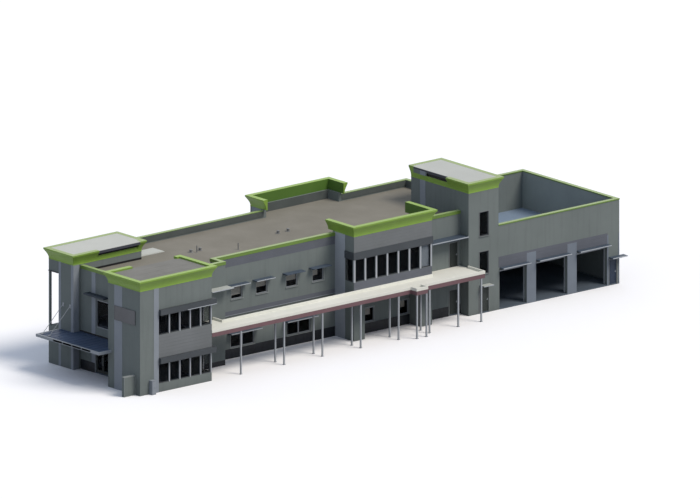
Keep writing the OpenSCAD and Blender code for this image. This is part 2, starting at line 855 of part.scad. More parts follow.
module bay_ground_wall() {
    inner_x0 = bay_x0 + bay_pier;
    inner_x1 = bay_x1 - bay_pier;
    color(wall_grey) placed() difference() {
        union() {
            block([bay_x0, bay_y0, 0], [inner_x0, bay_y0 + wall, storey_split]);
            block([inner_x1, bay_y0, 0], [bay_x1, bay_y0 + wall, storey_split]);
            block([bay_x0, bay_y0, 0], [bay_x0 + wall, main_y0 + wall, storey_split]);
            block([bay_x1 - wall, bay_y0, 0], [bay_x1, link_y + wall, storey_split]);
            block([inner_x0 - wall, bay_y0, 0],
                [inner_x0, bay_recess_y + wall, storey_split]);
            block([inner_x1, bay_y0, 0],
                [inner_x1 + wall, bay_recess_y + wall, storey_split]);
            block([inner_x0, bay_recess_y, 0],
                [inner_x1, bay_recess_y + wall, storey_split]);
        }
        for (x = recess_window_xs)
            block([x, bay_recess_y - 1, ground_window_sill],
                [x + recess_window_wide, bay_recess_y + wall + 1,
                    ground_window_sill + ground_window_high]);
    }
}

// One storey of a three-sided bay wall that faces -Y, between two heights
module bay_band(y, left_y, right_y, low_z, high_z) {
    block([bay_x0, y, low_z], [bay_x1, y + wall, high_z]);
    block([bay_x0, y, low_z], [bay_x0 + wall, left_y, high_z]);
    block([bay_x1 - wall, y, low_z], [bay_x1, right_y, high_z]);
}

module bay_upper_wall() {
    left_y = main_y0 + wall;
    right_y = link_y + wall;
    color(wall_grey) placed() {
        bay_band(bay_y0, left_y, right_y, storey_split, bay_sill);
        bay_band(bay_y0, left_y, right_y, bay_head, crown_base);
        block([bay_x0, link_y, bay_sill], [bay_x0 + wall, left_y, bay_head]);
        block([bay_x1 - wall, link_y, bay_sill], [bay_x1, right_y, bay_head]);
        block([bay_x1 - wall, right_y, main_roof_top], [bay_x1, left_y, crown_base]);
    }
}

// Posts of the bay glazing, in front of the panes
module bay_posts() {
    pitch = (bay_wide - post_wide) / bay_panes;
    color(trim_grey) placed() {
        for (i = [0 : bay_panes])
            block([bay_x0 + pitch * i, bay_y0, bay_sill],
                [bay_x0 + pitch * i + post_wide, bay_y0 + glass_inset, bay_head]);
        for (i = [0 : bay_panes])
            block([bay_x0 + pitch * i, rear_bay_y1 - glass_inset, bay_sill],
                [bay_x0 + pitch * i + post_wide, rear_bay_y1, bay_head]);
    }
}

module bay_crowns() {
    color(crown_green) placed() {
        three_sided_crown(bay_y0, main_y0 + bay_crown_back, [1, 1, 1, 0]);
        three_sided_crown(main_y1 - rear_crown_forward, rear_bay_y1, [1, 1, 0, 1]);
    }
}

// A crown round a bay, left open on its roof side
module three_sided_crown(y0, y1, flares) {
    open_front = flares[2] == 0;
    difference() {
        crown(bay_x0, bay_x1, y0, y1, crown_base, flares, crown_high + 1);
        block([bay_x0 + crown_inner, (open_front ? y0 : y1) - wall - 1, crown_base - 1],
            [bay_x1 - crown_inner, (open_front ? y0 : y1) + wall + 1, crown_top + 1]);
    }
}

// ---------------------------------------------------------------- right link

module right_link_wall_beside_doors() {
    color(wall_grey) placed() {
        block([bay_x1, link_y, 0], [link_door_x, link_y + wall, parapet_base]);
        block([link_door_x1, link_y, 0], [stair_x0, link_y + wall, parapet_base]);
    }
}

module right_link_wall_over_doors() {
    color(wall_grey) placed() {
        block([link_door_x, link_y, single_head], [link_door_x1, link_y + wall, storey_split]);
        block([link_door_x, link_y, first_floor_top + door_high],
            [link_door_x1, link_y + wall, parapet_base]);
    }
}

module link_door() {
    color(dark_metal) placed() leaf(link_door_x, link_door_x1, link_y, door_sill, single_head);
}

module link_upper_door() {
    color(dark_metal) placed()
        block([link_door_x, link_y + leaf_back, first_floor_top],
            [link_door_x1, link_y + leaf_back + leaf_thick, first_floor_top + door_high]);
}

// ---------------------------------------------------------------- back of the main block

module back_window_holes() {
    for (x = upper_window_xs)
        block([x, main_y1 - wall - 1, upper_window_sill],
            [x + upper_window_wide, main_y1 + 1, upper_window_sill + upper_window_high]);
    for (x = ground_window_xs)
        block([x, main_y1 - wall - 1, ground_window_sill],
            [x + ground_window_wide, main_y1 + 1, ground_window_sill + ground_window_high]);
}

module main_back_wall() {
    color(wall_grey) placed() {
        difference() {
            block([tower_x1 - wall, main_y1 - wall, 0], [bay_x0, main_y1, parapet_base]);
            back_window_holes();
        }
        block([tower_x1 - wall, tower_y1, 0], [tower_x1, main_y1 - wall, parapet_base]);
        block([bay_x1, main_y1 - wall, 0], [stair_x1, main_y1, parapet_base]);
    }
}

module main_end_wall() {
    color(wall_grey) placed()
        block([stair_x1 - wall, stair_y1, 0], [stair_x1, main_y1 - wall, parapet_base]);
}

// A storey band of the rear bay, which faces +Y
module rear_band(low_z, high_z) {
    block([bay_x0, rear_bay_y1 - wall, low_z], [bay_x1, rear_bay_y1, high_z]);
    block([bay_x0, main_y1 - wall, low_z], [bay_x0 + wall, rear_bay_y1, high_z]);
    block([bay_x1 - wall, main_y1 - wall, low_z], [bay_x1, rear_bay_y1, high_z]);
}

module rear_bay_wall() {
    color(wall_grey) placed() {
        rear_band(0, bay_sill);
        rear_band(bay_head, crown_base);
        block([bay_x0, main_y1 - wall, bay_sill], [bay_x0 + wall, main_y1, bay_head]);
        block([bay_x1 - wall, main_y1 - wall, bay_sill], [bay_x1, main_y1, bay_head]);
    }
}

// ---------------------------------------------------------------- stair tower

module stair_tower_front_sides() {
    color(wall_grey) placed() {
        block([stair_x0, stair_y0, 0], [stair_door_x, stair_y0 + wall, stair_crown_base]);
        block([stair_door_x + stair_opening_wide, stair_y0, 0],
            [stair_x1, stair_y0 + wall, stair_crown_base]);
    }
}

// The wall over the door and between and over the two windows
module stair_tower_front_middle() {
    lows = [single_head, stair_window_sills[0] + stair_window_highs[0],
        stair_window_sills[1] + stair_window_highs[1]];
    highs = [stair_window_sills[0], stair_window_sills[1], stair_crown_base];
    color(wall_grey) placed() for (i = [0 : 2])
        block([stair_door_x, stair_y0, lows[i]],
            [stair_door_x + stair_opening_wide, stair_y0 + wall, highs[i]]);
}

module stair_tower_walls() {
    color(wall_grey) placed() {
        block([stair_x0, stair_y0 + wall, 0],
            [stair_x0 + wall, stair_y1, stair_crown_base]);
        block([stair_x1 - wall, stair_y0 + wall, 0], [stair_x1, stair_y1, stair_crown_base]);
        block([stair_x0, stair_y1 - wall, 0], [stair_x1, stair_y1, stair_crown_base]);
    }
}

module stair_tower_crown() {
    flat_y = stair_y0 + stair_crown_side;
    color(crown_green) placed() difference() {
        crown(stair_x0, stair_x1, stair_y0, stair_y1, stair_crown_base, [1, 1, 1, 1],
            tower_roof_thick);
        block([stair_x0 - far, flat_y, stair_crown_base - 1],
            [stair_x0, stair_y1 + far, stair_top + 1]);
        block([stair_x0 - 1, flat_y, stair_crown_base + tower_band_high],
            [stair_x0 + wall + 1, stair_y1 - wall, stair_top + 1]);
    }
}

module stair_tower_door() {
    color(dark_metal) placed()
        leaf(stair_door_x, stair_door_x + stair_opening_wide, stair_y0, door_sill, single_head);
}

// ---------------------------------------------------------------- hinges

// Three hinges on a jamb. The jamb face is at x = 0, the leaf reaches towards +x and
// the wall face is at y = 0; the barrels stand just clear of the outer face of the leaf.
module jamb_hinges(head) {
    low = door_sill + hinge_inset;
    high = head - leaf_gap - hinge_inset - hinge_high;
    barrel_y = leaf_back - hinge_radius - hinge_gap;
    for (z = [low, (low + high) / 2, high]) translate([0, 0, z]) {
        translate([hinge_radius, barrel_y, 0]) cylinder(r = hinge_radius, h = hinge_high);
        block([0, barrel_y, 0], [hinge_radius / 3, leaf_back + leaf_thick, hinge_high]);
    }
}

module door_hinges() {
    color(dark_metal) placed() {
        translate([entry_x, entry_door_y, 0]) mirror([1, -1, 0]) jamb_hinges(entry_head);
        translate([entry_x, entry_door_y1, 0]) rotate([0, 0, -90]) jamb_hinges(entry_head);
        translate([link_door_x, link_y, 0]) jamb_hinges(single_head);
        translate([stair_door_x, stair_y0, 0]) jamb_hinges(single_head);
        translate([side_door_x, stair_y0, 0]) jamb_hinges(single_head);
    }
}

// ---------------------------------------------------------------- garage

module garage_piers() {
    color(trim_grey) placed() {
        block([stair_x1, stair_y0, 0], [vehicle_x(0), stair_y0 + wall, vehicle_head]);
        for (i = [1 : 2])
            block([vehicle_x(i) - vehicle_pier, stair_y0, 0],
                [vehicle_x(i), stair_y0 + wall, vehicle_head]);
        block([vehicle_end, stair_y0, 0], [side_door_x, stair_y0 + wall, vehicle_head]);
        block([side_door_x + side_door_wide, stair_y0, 0],
            [garage_x1, stair_y0 + wall, vehicle_head]);
    }
}

// The wall over the vehicle bays and, lower down, over the side door
module garage_screen_wall() {
    color(wall_grey) placed() {
        block([stair_x1, stair_y0, vehicle_head],
            [garage_x1, stair_y0 + wall, screen_top - screen_coping_high]);
        block([side_door_x, stair_y0, single_head],
            [side_door_x + side_door_wide, stair_y0 + wall, vehicle_head]);
    }
}

module garage_walls() {
    top = screen_top - screen_coping_high;
    color(wall_grey) placed() {
        block([garage_x1 - wall, stair_y0 + wall, 0], [garage_x1, garage_y1, top]);
        block([stair_x1 - wall, garage_y1 - wall, 0], [garage_x1, garage_y1, top]);
        block([stair_x1 - wall, main_y1, 0], [stair_x1, garage_y1, top]);
    }
}

module garage_side_door() {
    color(dark_metal) placed()
        leaf(side_door_x, side_door_x + side_door_wide, stair_y0, door_sill, single_head);
}

// ---------------------------------------------------------------- copings and awnings

// A straight length of coping over a wall: it stands out on both faces of the wall, and
// at each end by what is given
module coping_along_x(x0, x1, y, ends, top, high) {
    block([x0 - ends[0], y - coping_over, top - high],
        [x1 + ends[1], y + wall + coping_over, top]);
}

module coping_along_y(y0, y1, x, ends, top, high) {
    block([x - coping_over, y0 - ends[0], top - high],
        [x + wall + coping_over, y1 + ends[1], top]);
}

// The copings of the main block: each length butts against the next with an open joint
module parapet_coping() {
    over = coping_over;
    butt = -coping_over - coping_joint;
    top = parapet_top;
    high = coping_high;
    color(crown_green) placed() {
        coping_along_y(wing_deep, tower_y0, entry_x, [0, 0], top, high);
        coping_along_x(wing_wide, main_x0, link_y, [0, over], top, high);
        coping_along_y(link_y + wall, main_y0, main_left_x, [butt, butt], top, high);
        coping_along_x(main_left_x, bay_x0, main_y0, [over, 0], top, high);
        coping_along_x(bay_x1, stair_x0, link_y, [0, 0], top, high);
        coping_along_y(tower_y1, main_y1 - wall, tower_x1 - wall, [0, butt], top, high);
        coping_along_x(tower_x1 - wall, bay_x0, main_y1 - wall, [over, 0], top, high);
        coping_along_x(bay_x1, stair_x1, main_y1 - wall, [0, over], top, high);
        coping_along_y(stair_y1, main_y1 - wall, stair_x1 - wall, [0, butt], top, high);
    }
}

// The thin coping round the open sides of the garage roof
module screen_coping() {
    over = coping_over;
    butt = -coping_over - coping_joint;
    color(crown_green) placed() {
        coping_along_x(stair_x1, garage_x1, stair_y0, [0, over], screen_top, screen_coping_high);
        coping_along_y(stair_y0 + wall, garage_y1 - wall, garage_x1 - wall, [butt, butt],
            screen_top, screen_coping_high);
        coping_along_x(stair_x1 - wall, garage_x1, garage_y1 - wall, [over, over],
            screen_top, screen_coping_high);
    }
}

// Flat awnings over the link walls, the tall window, the doors and the vehicle bays
module wall_awnings() {
    door_awning_z = single_head + door_awning_gap;
    color(trim_grey) placed() {
        block([main_x0 + left_awning_past - left_awning_long, link_y - left_awning_out,
            link_awning_z], [main_x0 + left_awning_past, link_y, link_awning_z + shade_thick]);
        block([bay_x1 + right_awning_gap, link_y - right_awning_out, link_awning_z],
            [stair_x0, link_y, link_awning_z + right_awning_thick]);
        block([entry_x - shade_out, entry_door_y, link_awning_z],
            [entry_x, entry_door_y + entry_shelf_long, link_awning_z + shade_thick]);
        block([stair_door_x, stair_y0 - shade_out, door_awning_z],
            [stair_door_x + stair_opening_wide + door_awning_side, stair_y0,
                door_awning_z + shade_thick]);
        block([side_door_x - side_awning_start, stair_y0 - shade_out, door_awning_z],
            [garage_x1 + side_awning_past, stair_y0, door_awning_z + shade_thick]);
        for (i = [0 : 2])
            block([vehicle_x(i) + bay_awning_gap, stair_y0 - bay_awning_out,
                vehicle_head + bay_awning_gap],
                [vehicle_x(i) + vehicle_wides[i] + bay_awning_past, stair_y0,
                    vehicle_head + bay_awning_gap + shade_thick]);
    }
}

// ---------------------------------------------------------------- walkway canopy

module walkway_canopy() {
    color(canopy_white) placed() plate([
        [wing_wide, canopy_y0],
        [porch_x0, canopy_y0],
        [porch_x0, porch_y0],
        [porch_x1, porch_y0],
        [porch_x1, canopy_y0],
        [stair_x0, canopy_y0],
        [stair_x0, link_y],
        [bay_x1, link_y],
        [bay_x1, bay_y0],
        [canopy_step_x, bay_y0],
        [canopy_step_x, link_y],
        [wing_wide, link_y]
    ], canopy_top - canopy_high, canopy_top);
}

// One length of kerb on the canopy, over the given rectangle
module kerb(x0, x1, y0, y1) {
    block([x0, y0, canopy_top], [x1, y1, canopy_top + kerb_high]);
}

// The kerbs round the canopy's edges: each length butts against the next with an open joint
module canopy_kerbs() {
    front_y = canopy_y0 + kerb_wide;
    back_y = bay_y0 - kerb_wide;
    porch_end = canopy_y0 - kerb_joint;
    color(canopy_white) placed() {
        kerb(wing_wide, porch_x0 + kerb_wide, canopy_y0, front_y);
        kerb(porch_x0, porch_x0 + kerb_wide, porch_y0, porch_end);
        kerb(porch_x0 + kerb_wide + kerb_joint, porch_x1 - kerb_wide - kerb_joint,
            porch_y0, porch_y0 + kerb_wide);
        kerb(porch_x1 - kerb_wide, porch_x1, porch_y0, porch_end);
        kerb(porch_x1 - kerb_wide, stair_x0, canopy_y0, front_y);
        kerb(stair_x0 - kerb_wide, stair_x0, front_y + kerb_joint, stair_y0);
        kerb(canopy_step_x - kerb_wide, canopy_step_x, back_y, link_y);
        kerb(canopy_step_x + kerb_joint, bay_x1, back_y, bay_y0);
    }
}

module column_at(x, y) {
    block([x - column_wide / 2, y, 0],
        [x + column_wide / 2, y + column_wide, canopy_top - canopy_high]);
}

module canopy_columns() {
    color(trim_grey) placed() {
        for (x = front_column_xs) column_at(x, 0);
        for (x = back_column_xs) column_at(x, back_column_y);
        for (x = [porch_x0 + column_wide, porch_x1 - column_wide])
            column_at(x, porch_y0 + porch_column_back);
    }
}

// ---------------------------------------------------------------- glass and fittings

module ground_window_glass() {
    low = ground_window_sill;
    high = ground_window_sill + ground_window_high;
    color(glass_dark) placed() {
        wing_pane(wing_sills[0]);
        for (x = ground_window_xs) {
            pane(x, x + ground_window_wide, main_y0, low, high);
            pane(x, x + ground_window_wide, main_y1 - wall, low, high);
        }
        for (x = recess_window_xs)
            pane(x, x + recess_window_wide, bay_recess_y, low, high);
    }
}

// The corner glazing of the wing, behind the posts: a front sheet and its return
module wing_pane(sill) {
    high = sill + wing_glazing;
    block([wing_pier, glass_inset, sill],
        [wing_wide - glass_inset, glass_inset + glass_thick, high]);
    block([wing_wide - glass_inset - glass_thick, glass_inset + glass_thick + glass_joint, sill],
        [wing_wide - glass_inset, wing_return, high]);
}

// The glazing of the front bay: a front sheet and its two returns
module bay_panes_front() {
    y = bay_y0 + glass_inset;
    block([bay_x0 + glass_inset, y, bay_sill],
        [bay_x1 - glass_inset, y + glass_thick, bay_head]);
    bay_returns(y + glass_thick + glass_joint, link_y);
}

module bay_panes_rear() {
    y = rear_bay_y1 - glass_inset - glass_thick;
    block([bay_x0 + glass_inset, y, bay_sill],
        [bay_x1 - glass_inset, y + glass_thick, bay_head]);
    bay_returns(main_y1, y - glass_joint);
}

// The two side sheets of a bay between two depths
module bay_returns(y0, y1) {
    for (x = [bay_x0 + glass_inset, bay_x1 - glass_inset - glass_thick])
        block([x, y0, bay_sill], [x + glass_thick, y1, bay_head]);
}

module upper_window_glass() {
    low = upper_window_sill;
    high = upper_window_sill + upper_window_high;
    color(glass_dark) placed() {
        wing_pane(wing_sills[1]);
        for (x = upper_window_xs) {
            pane(x, x + upper_window_wide, main_y0, low, high);
            pane(x, x + upper_window_wide, main_y1 - wall, low, high);
        }
        bay_panes_front();
        bay_panes_rear();
        block([entry_x + glass_inset, entry_door_y, entry_window_sill],
            [entry_x + glass_inset + glass_thick, entry_door_y1,
                entry_window_sill + entry_window_high]);
        for (i = [0 : 1])
            pane(stair_door_x, stair_door_x + stair_opening_wide, stair_y0,
                stair_window_sills[i], stair_window_sills[i] + stair_window_highs[i]);
    }
}

module roof_vents() {
    color(dark_metal) placed() {
        for (x = vent_places)
            translate([main_x0 + x, main_y0 + vent_row, main_roof_top])
                cylinder(r = vent_radius, h = vent_high);
        for (place = pipe_places)
            translate([main_x0 + place[0], main_y0 + place[1], main_roof_top])
                cylinder(r = pipe_radius, h = pipe_high);
    }
}

module service_cabinets() {
    color(trim_grey) placed() {
        block([cabinet_x, -cabinet_deep, 0], [cabinet_x + cabinet_wide, 0, cabinet_high]);
        block([-low_screen_out, low_screen_y, 0], [0, low_screen_y + wall, low_screen_high]);
    }
}

// ---------------------------------------------------------------- nodes

ground_floor();
first_floor();
main_roof();
wing_roof();
tower_roofs();
garage_deck();
wing_front_wall();
wing_side_walls();
wing_crown();
wing_posts();
glazing_headers();
entrance_wall_beside_door();
entrance_wall_over_door();
entrance_awning();
awning_hangers();
entrance_door_near();
entrance_pane_near();
entrance_door_far();
entrance_pane_far();
corner_tower_side_walls();
corner_tower_end_walls();
corner_tower_loggia();
corner_tower_crown();
left_link_wall();
main_front_wall_ground();
main_front_wall_upper();
window_sunshades();
bay_ground_wall();
bay_upper_wall();
bay_posts();
bay_crowns();
right_link_wall_beside_doors();
right_link_wall_over_doors();
link_door();
link_upper_door();
main_back_wall();
main_end_wall();
rear_bay_wall();
stair_tower_front_sides();
stair_tower_front_middle();
stair_tower_walls();
stair_tower_crown();
stair_tower_door();
door_hinges();
garage_piers();
garage_screen_wall();
garage_walls();
garage_side_door();
parapet_coping();
screen_coping();
wall_awnings();
walkway_canopy();
canopy_kerbs();
canopy_columns();
ground_window_glass();
upper_window_glass();
roof_vents();
service_cabinets();
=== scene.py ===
import bpy
import numpy as np
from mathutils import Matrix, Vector


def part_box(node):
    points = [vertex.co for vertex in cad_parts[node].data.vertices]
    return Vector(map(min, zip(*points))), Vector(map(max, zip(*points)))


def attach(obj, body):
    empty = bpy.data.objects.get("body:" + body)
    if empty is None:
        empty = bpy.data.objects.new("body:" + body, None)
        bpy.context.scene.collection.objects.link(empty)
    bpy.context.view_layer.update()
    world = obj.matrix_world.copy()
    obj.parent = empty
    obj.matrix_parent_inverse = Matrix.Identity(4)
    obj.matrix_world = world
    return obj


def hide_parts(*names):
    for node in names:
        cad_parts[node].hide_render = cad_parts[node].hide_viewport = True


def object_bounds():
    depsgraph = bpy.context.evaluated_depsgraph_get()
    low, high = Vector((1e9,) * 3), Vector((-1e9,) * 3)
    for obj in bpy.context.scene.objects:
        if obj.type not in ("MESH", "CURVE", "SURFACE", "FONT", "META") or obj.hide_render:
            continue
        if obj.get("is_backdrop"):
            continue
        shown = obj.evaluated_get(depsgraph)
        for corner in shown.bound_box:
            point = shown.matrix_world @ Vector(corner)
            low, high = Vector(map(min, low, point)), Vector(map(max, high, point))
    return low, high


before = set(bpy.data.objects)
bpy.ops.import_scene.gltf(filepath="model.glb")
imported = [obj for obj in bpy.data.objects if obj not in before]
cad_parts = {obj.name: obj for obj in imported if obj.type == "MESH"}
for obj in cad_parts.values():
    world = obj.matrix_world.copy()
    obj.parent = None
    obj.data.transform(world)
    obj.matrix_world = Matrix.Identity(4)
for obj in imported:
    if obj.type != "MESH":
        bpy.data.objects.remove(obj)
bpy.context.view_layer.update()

# ---------------------------------------------------------------- camera, ground and lamps
# The building stands on a plain pale ground in soft studio light. The camera is a parallel
# one, as for an architect's drawing: upright edges stay upright and lengths keep their scale.

VIEW_TURN = np.radians(40.3)
VIEW_RISE = np.radians(14.9)
VIEW_WIDTH = 29.41
VIEW_AIM = Vector((8.8375, 8.8425, 0.0))
VIEW_DISTANCE = 60.0
GROUND_REACH = 150.0
GROUND_DROP = 0.003
GROUND_PAPER = "#fcfdff"
GROUND_BOUNCE = "#a8a8a6"
SUN_TOWARD = Vector((0.26, -0.55, 0.79))
SUN_STRENGTH = 2.5
SUN_WARMTH = "#fff6ea"
SUN_SPREAD = np.radians(26.0)
SKY_TINT = "#dfeaff"
SKY_STRENGTH = 0.58


def linear(code):
    """Turns an sRGB hex colour into the linear values that shaders take: each channel c
    becomes ((c + 0.055) / 1.055) to the power 2.4, or c / 12.92 where it is dark."""
    part = np.array([int(code[i:i + 2], 16) for i in (1, 3, 5)]) / 255.0
    part = np.where(part > 0.04045, ((part + 0.055) / 1.055) ** 2.4, part / 12.92)
    return (*part.tolist(), 1.0)


def add(tree, kind, inputs=None, **settings):
    """Adds a node of one kind, sets its settings, and sets or links each named input."""
    made = tree.nodes.new("ShaderNode" + kind)
    for name, value in settings.items():
        setattr(made, name, value)
    for name, value in (inputs or {}).items():
        if isinstance(value, bpy.types.NodeSocket):
            tree.links.new(value, made.inputs[name])
        else:
            made.inputs[name].default_value = value
    return made


def new_material(name):
    """An empty material with its output node, ready for a shader."""
    material = bpy.data.materials.new(name)
    material.use_nodes = True
    material.node_tree.nodes.clear()
    return material, material.node_tree, add(material.node_tree, "OutputMaterial")


def arithmetic(tree, kind, first, second, **settings):
    """The result of one kind of operation on two values."""
    return add(tree, "Math", {0: first, 1: second}, operation=kind, **settings).outputs[0]


def blend(tree, share, first, second):
    """A colour that goes from the first to the second as the share goes from 0 to 1."""
    return add(tree, "Mix", {"Factor": share, 6: first, 7: second}, data_type="RGBA").outputs[2]


def seen_straight(tree):
    """1 where a ray comes from the camera, off a mirror or through glass, and 0 elsewhere:
    the largest of the three flags."""
    flags = add(tree, "LightPath").outputs
    bent = arithmetic(tree, "MAXIMUM", flags["Is Glossy Ray"], flags["Is Transmission Ray"])
    return arithmetic(tree, "MAXIMUM", flags["Is Camera Ray"], bent)


toward_camera = Vector((
    -np.sin(VIEW_TURN) * np.cos(VIEW_RISE),
    -np.cos(VIEW_TURN) * np.cos(VIEW_RISE),
    np.sin(VIEW_RISE),
))
lens = bpy.data.cameras.new("camera")
lens.type = "ORTHO"
lens.ortho_scale = VIEW_WIDTH
lens.clip_end = 4 * VIEW_DISTANCE
camera = bpy.data.objects.new("camera", lens)
camera.location = VIEW_AIM + VIEW_DISTANCE * toward_camera
camera.rotation_euler = toward_camera.to_track_quat("Z", "Y").to_euler()
bpy.context.scene.collection.objects.link(camera)
bpy.context.scene.camera = camera

ground_mesh = bpy.data.meshes.new("ground")
ground_mesh.from_pydata(
    [(x, y, -GROUND_DROP) for x, y in
     GROUND_REACH * np.array([(-1, -1), (1, -1), (1, 1), (-1, 1)])],
    [], [(0, 1, 2, 3)])
ground = bpy.data.objects.new("ground", ground_mesh)
bpy.context.scene.collection.objects.link(ground)
ground_paint, tree, output = new_material("ground_paper")
tone = blend(tree, seen_straight(tree), linear(GROUND_BOUNCE), linear(GROUND_PAPER))
paper = add(tree, "BsdfDiffuse", {"Color": tone})
tree.links.new(paper.outputs["BSDF"], output.inputs["Surface"])
ground_mesh.materials.append(ground_paint)
ground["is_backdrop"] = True

sun = bpy.data.lights.new("soft_key", "SUN")
sun.energy = SUN_STRENGTH
sun.color = linear(SUN_WARMTH)[:3]
sun.angle = SUN_SPREAD
sun_object = bpy.data.objects.new("soft_key", sun)
sun_object.rotation_euler = SUN_TOWARD.to_track_quat("Z", "Y").to_euler()
bpy.context.scene.collection.objects.link(sun_object)

sky = bpy.data.worlds.new("studio")
sky.use_nodes = True
tree = sky.node_tree
tree.nodes.clear()
soft = add(tree, "Background", {"Color": linear(SKY_TINT), "Strength": SKY_STRENGTH})
white = add(tree, "Background", {"Color": linear("#ffffff"), "Strength": 1.0})
both = add(tree, "MixShader", {
    0: seen_straight(tree), 1: soft.outputs[0], 2: white.outputs[0]})
add(tree, "OutputWorld", {"Surface": both.outputs[0]})
bpy.context.scene.world = sky
bpy.context.scene.view_settings.view_transform = "Standard"

# ---------------------------------------------------------------- rendered walls
# Masonry walls under a floated render coat, painted a greenish grey. The paint has drifted a
# little in colour, is darker where rain splashes its foot, and runs in faint streaks.

SHEEN = 0.3
RENDER_PATCH = 2.2
RENDER_SAND = 0.030
STREAK_WIDE = 0.16
STREAK_LONG = 2.4
SPLASH_HIGH = 0.30
DIRT_GREY = "#34363a"
DIRT_SHARE = 0.16


def object_place(tree, scale=(1.0, 1.0, 1.0)):
    """The point on the piece in metres, stretched by a scale along each axis."""
    place = add(tree, "TexCoord")
    return add(tree, "Mapping", {
        "Vector": place.outputs["Object"], "Scale": scale}).outputs["Vector"]


def noise(tree, place, size, detail, roughness):
    """Cloudy noise from 0 to 1, in patches of about one size."""
    return add(tree, "TexNoise", {"Vector": place, "Scale": 1.0 / size, "Detail": detail,
                                  "Roughness": roughness}).outputs["Fac"]


def ranged(tree, value, low, high, to_low=0.0, to_high=1.0):
    """Carries a value in a straight line from low and high to two new ends."""
    return add(tree, "MapRange", {"Value": value, "From Min": low, "From Max": high,
                                  "To Min": to_low, "To Max": to_high}).outputs["Result"]


def coated(name, shade, tint, patch=1.0, grain=0.02, relief=0.0004, roughness=0.5,
           metallic=0.0, spread=0.10):
    """A coated surface with its nodes. Its colour drifts from shade to tint with noise at
    the patch size, its relief is noise at the grain size, and its roughness varies by the
    spread with that noise. What isn't given is as on a sprayed coat of paint."""
    material, tree, output = new_material(name)
    place = object_place(tree)
    drift = noise(tree, place, patch, 5.0, 0.6)
    sand = noise(tree, place, grain, 3.0, 0.7)
    colour = blend(tree, ranged(tree, drift, 0.3, 0.7), linear(shade), linear(tint))
    gloss = ranged(tree, sand, 0.25, 0.75, max(roughness - spread, 0.02),
                   min(roughness + spread, 1.0))
    bump = add(tree, "Bump", {"Height": sand, "Strength": 1.0, "Distance": relief})
    shader = add(tree, "BsdfPrincipled", {
        "Base Color": colour, "Roughness": gloss, "Normal": bump.outputs["Normal"],
        "Metallic": metallic, "Specular IOR Level": SHEEN})
    tree.links.new(shader.outputs["BSDF"], output.inputs["Surface"])
    return material, tree, shader, colour


def weathered(tree, shader, colour, strength):
    """Darkens a coat in tall streaks and along its foot: the colour is mixed with dirt by
    strength * (streak noise + how far the point lies below the splash height)."""
    tall = object_place(tree, (1 / STREAK_WIDE, 1 / STREAK_WIDE, 1 / STREAK_LONG))
    runs = ranged(tree, noise(tree, tall, 1.0, 4.0, 0.55), 0.5, 0.8)
    height = add(tree, "SeparateXYZ", {"Vector": object_place(tree)}).outputs["Z"]
    foot = ranged(tree, height, 0.0, SPLASH_HIGH, 1.0, 0.0)
    dirt = arithmetic(tree, "ADD", runs, foot)
    share = arithmetic(tree, "MULTIPLY", dirt, strength, use_clamp=True)
    dirty = blend(tree, share, colour, linear(DIRT_GREY))
    tree.links.new(dirty, shader.inputs["Base Color"])


def paint(material, *names):
    """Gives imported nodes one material."""
    for name in names:
        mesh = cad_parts[name].data
        mesh.materials.clear()
        mesh.materials.append(material)


# Floated acrylic render: matte, with a sand grain; 1.5 mm grains are too fine to show, so
# they are drawn as 30 mm clumps
wall_render, tree, shader, colour = coated(
    "floated_render", "#6b7372", "#737b7a",
    patch=RENDER_PATCH, grain=RENDER_SAND, relief=0.0020, roughness=0.85)
weathered(tree, shader, colour, DIRT_SHARE)
paint(wall_render,
      "wing_front_wall", "wing_side_walls", "entrance_wall_beside_door",
      "entrance_wall_over_door", "corner_tower_side_walls", "corner_tower_end_walls",
      "corner_tower_loggia", "left_link_wall", "main_front_wall_ground",
      "main_front_wall_upper", "bay_ground_wall", "bay_upper_wall",
      "right_link_wall_beside_doors", "right_link_wall_over_doors", "main_back_wall",
      "main_end_wall", "rear_bay_wall", "stair_tower_front_sides",
      "stair_tower_front_middle", "stair_tower_walls", "garage_screen_wall", "garage_walls")

# ---------------------------------------------------------------- light pilaster strips
# Flat strips of thick render, run up the walls beside the corners and the windows between
# two trowelled edges and painted a lighter blue-grey.

STRIP_PROUD = 0.008
STRIP_EASE = 0.003
CORNER_STRIP = 0.150
WING_STRIP = (0.760, 1.030)
WING_SIDE_STRIP = (1.160, 1.670)
ENTRANCE_STRIP = (4.130, 4.380)
TOWER_STRIP = (0.800, 0.950)
TOWER_FRONT_STRIP = 0.300
STAIR_STRIP = (2.800, 3.150)
GARAGE_STRIP_HIGH = 3.600
REAR_STRIP_SHORT = 0.090
PLINTH_HIGH = 0.425
TROWELLED = dict(patch=RENDER_PATCH, grain=RENDER_SAND, relief=0.0012, roughness=0.75)
OUTWARD = {"front": (0, -1, 0), "back": (0, 1, 0), "left": (-1, 0, 0), "right": (1, 0, 0)}
UP = np.array([0.0, 0.0, 1.0])


def coat(name, shade, tint, **finish):
    """The material of a coated surface whose nodes need no more work."""
    return coated(name, shade, tint, **finish)[0]


def span(node):
    """The two ends of a node's box along X, Y and Z: x0, x1, y0, y1, z0, z1."""
    low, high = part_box(node)
    return low.x, high.x, low.y, high.y, low.z, high.z


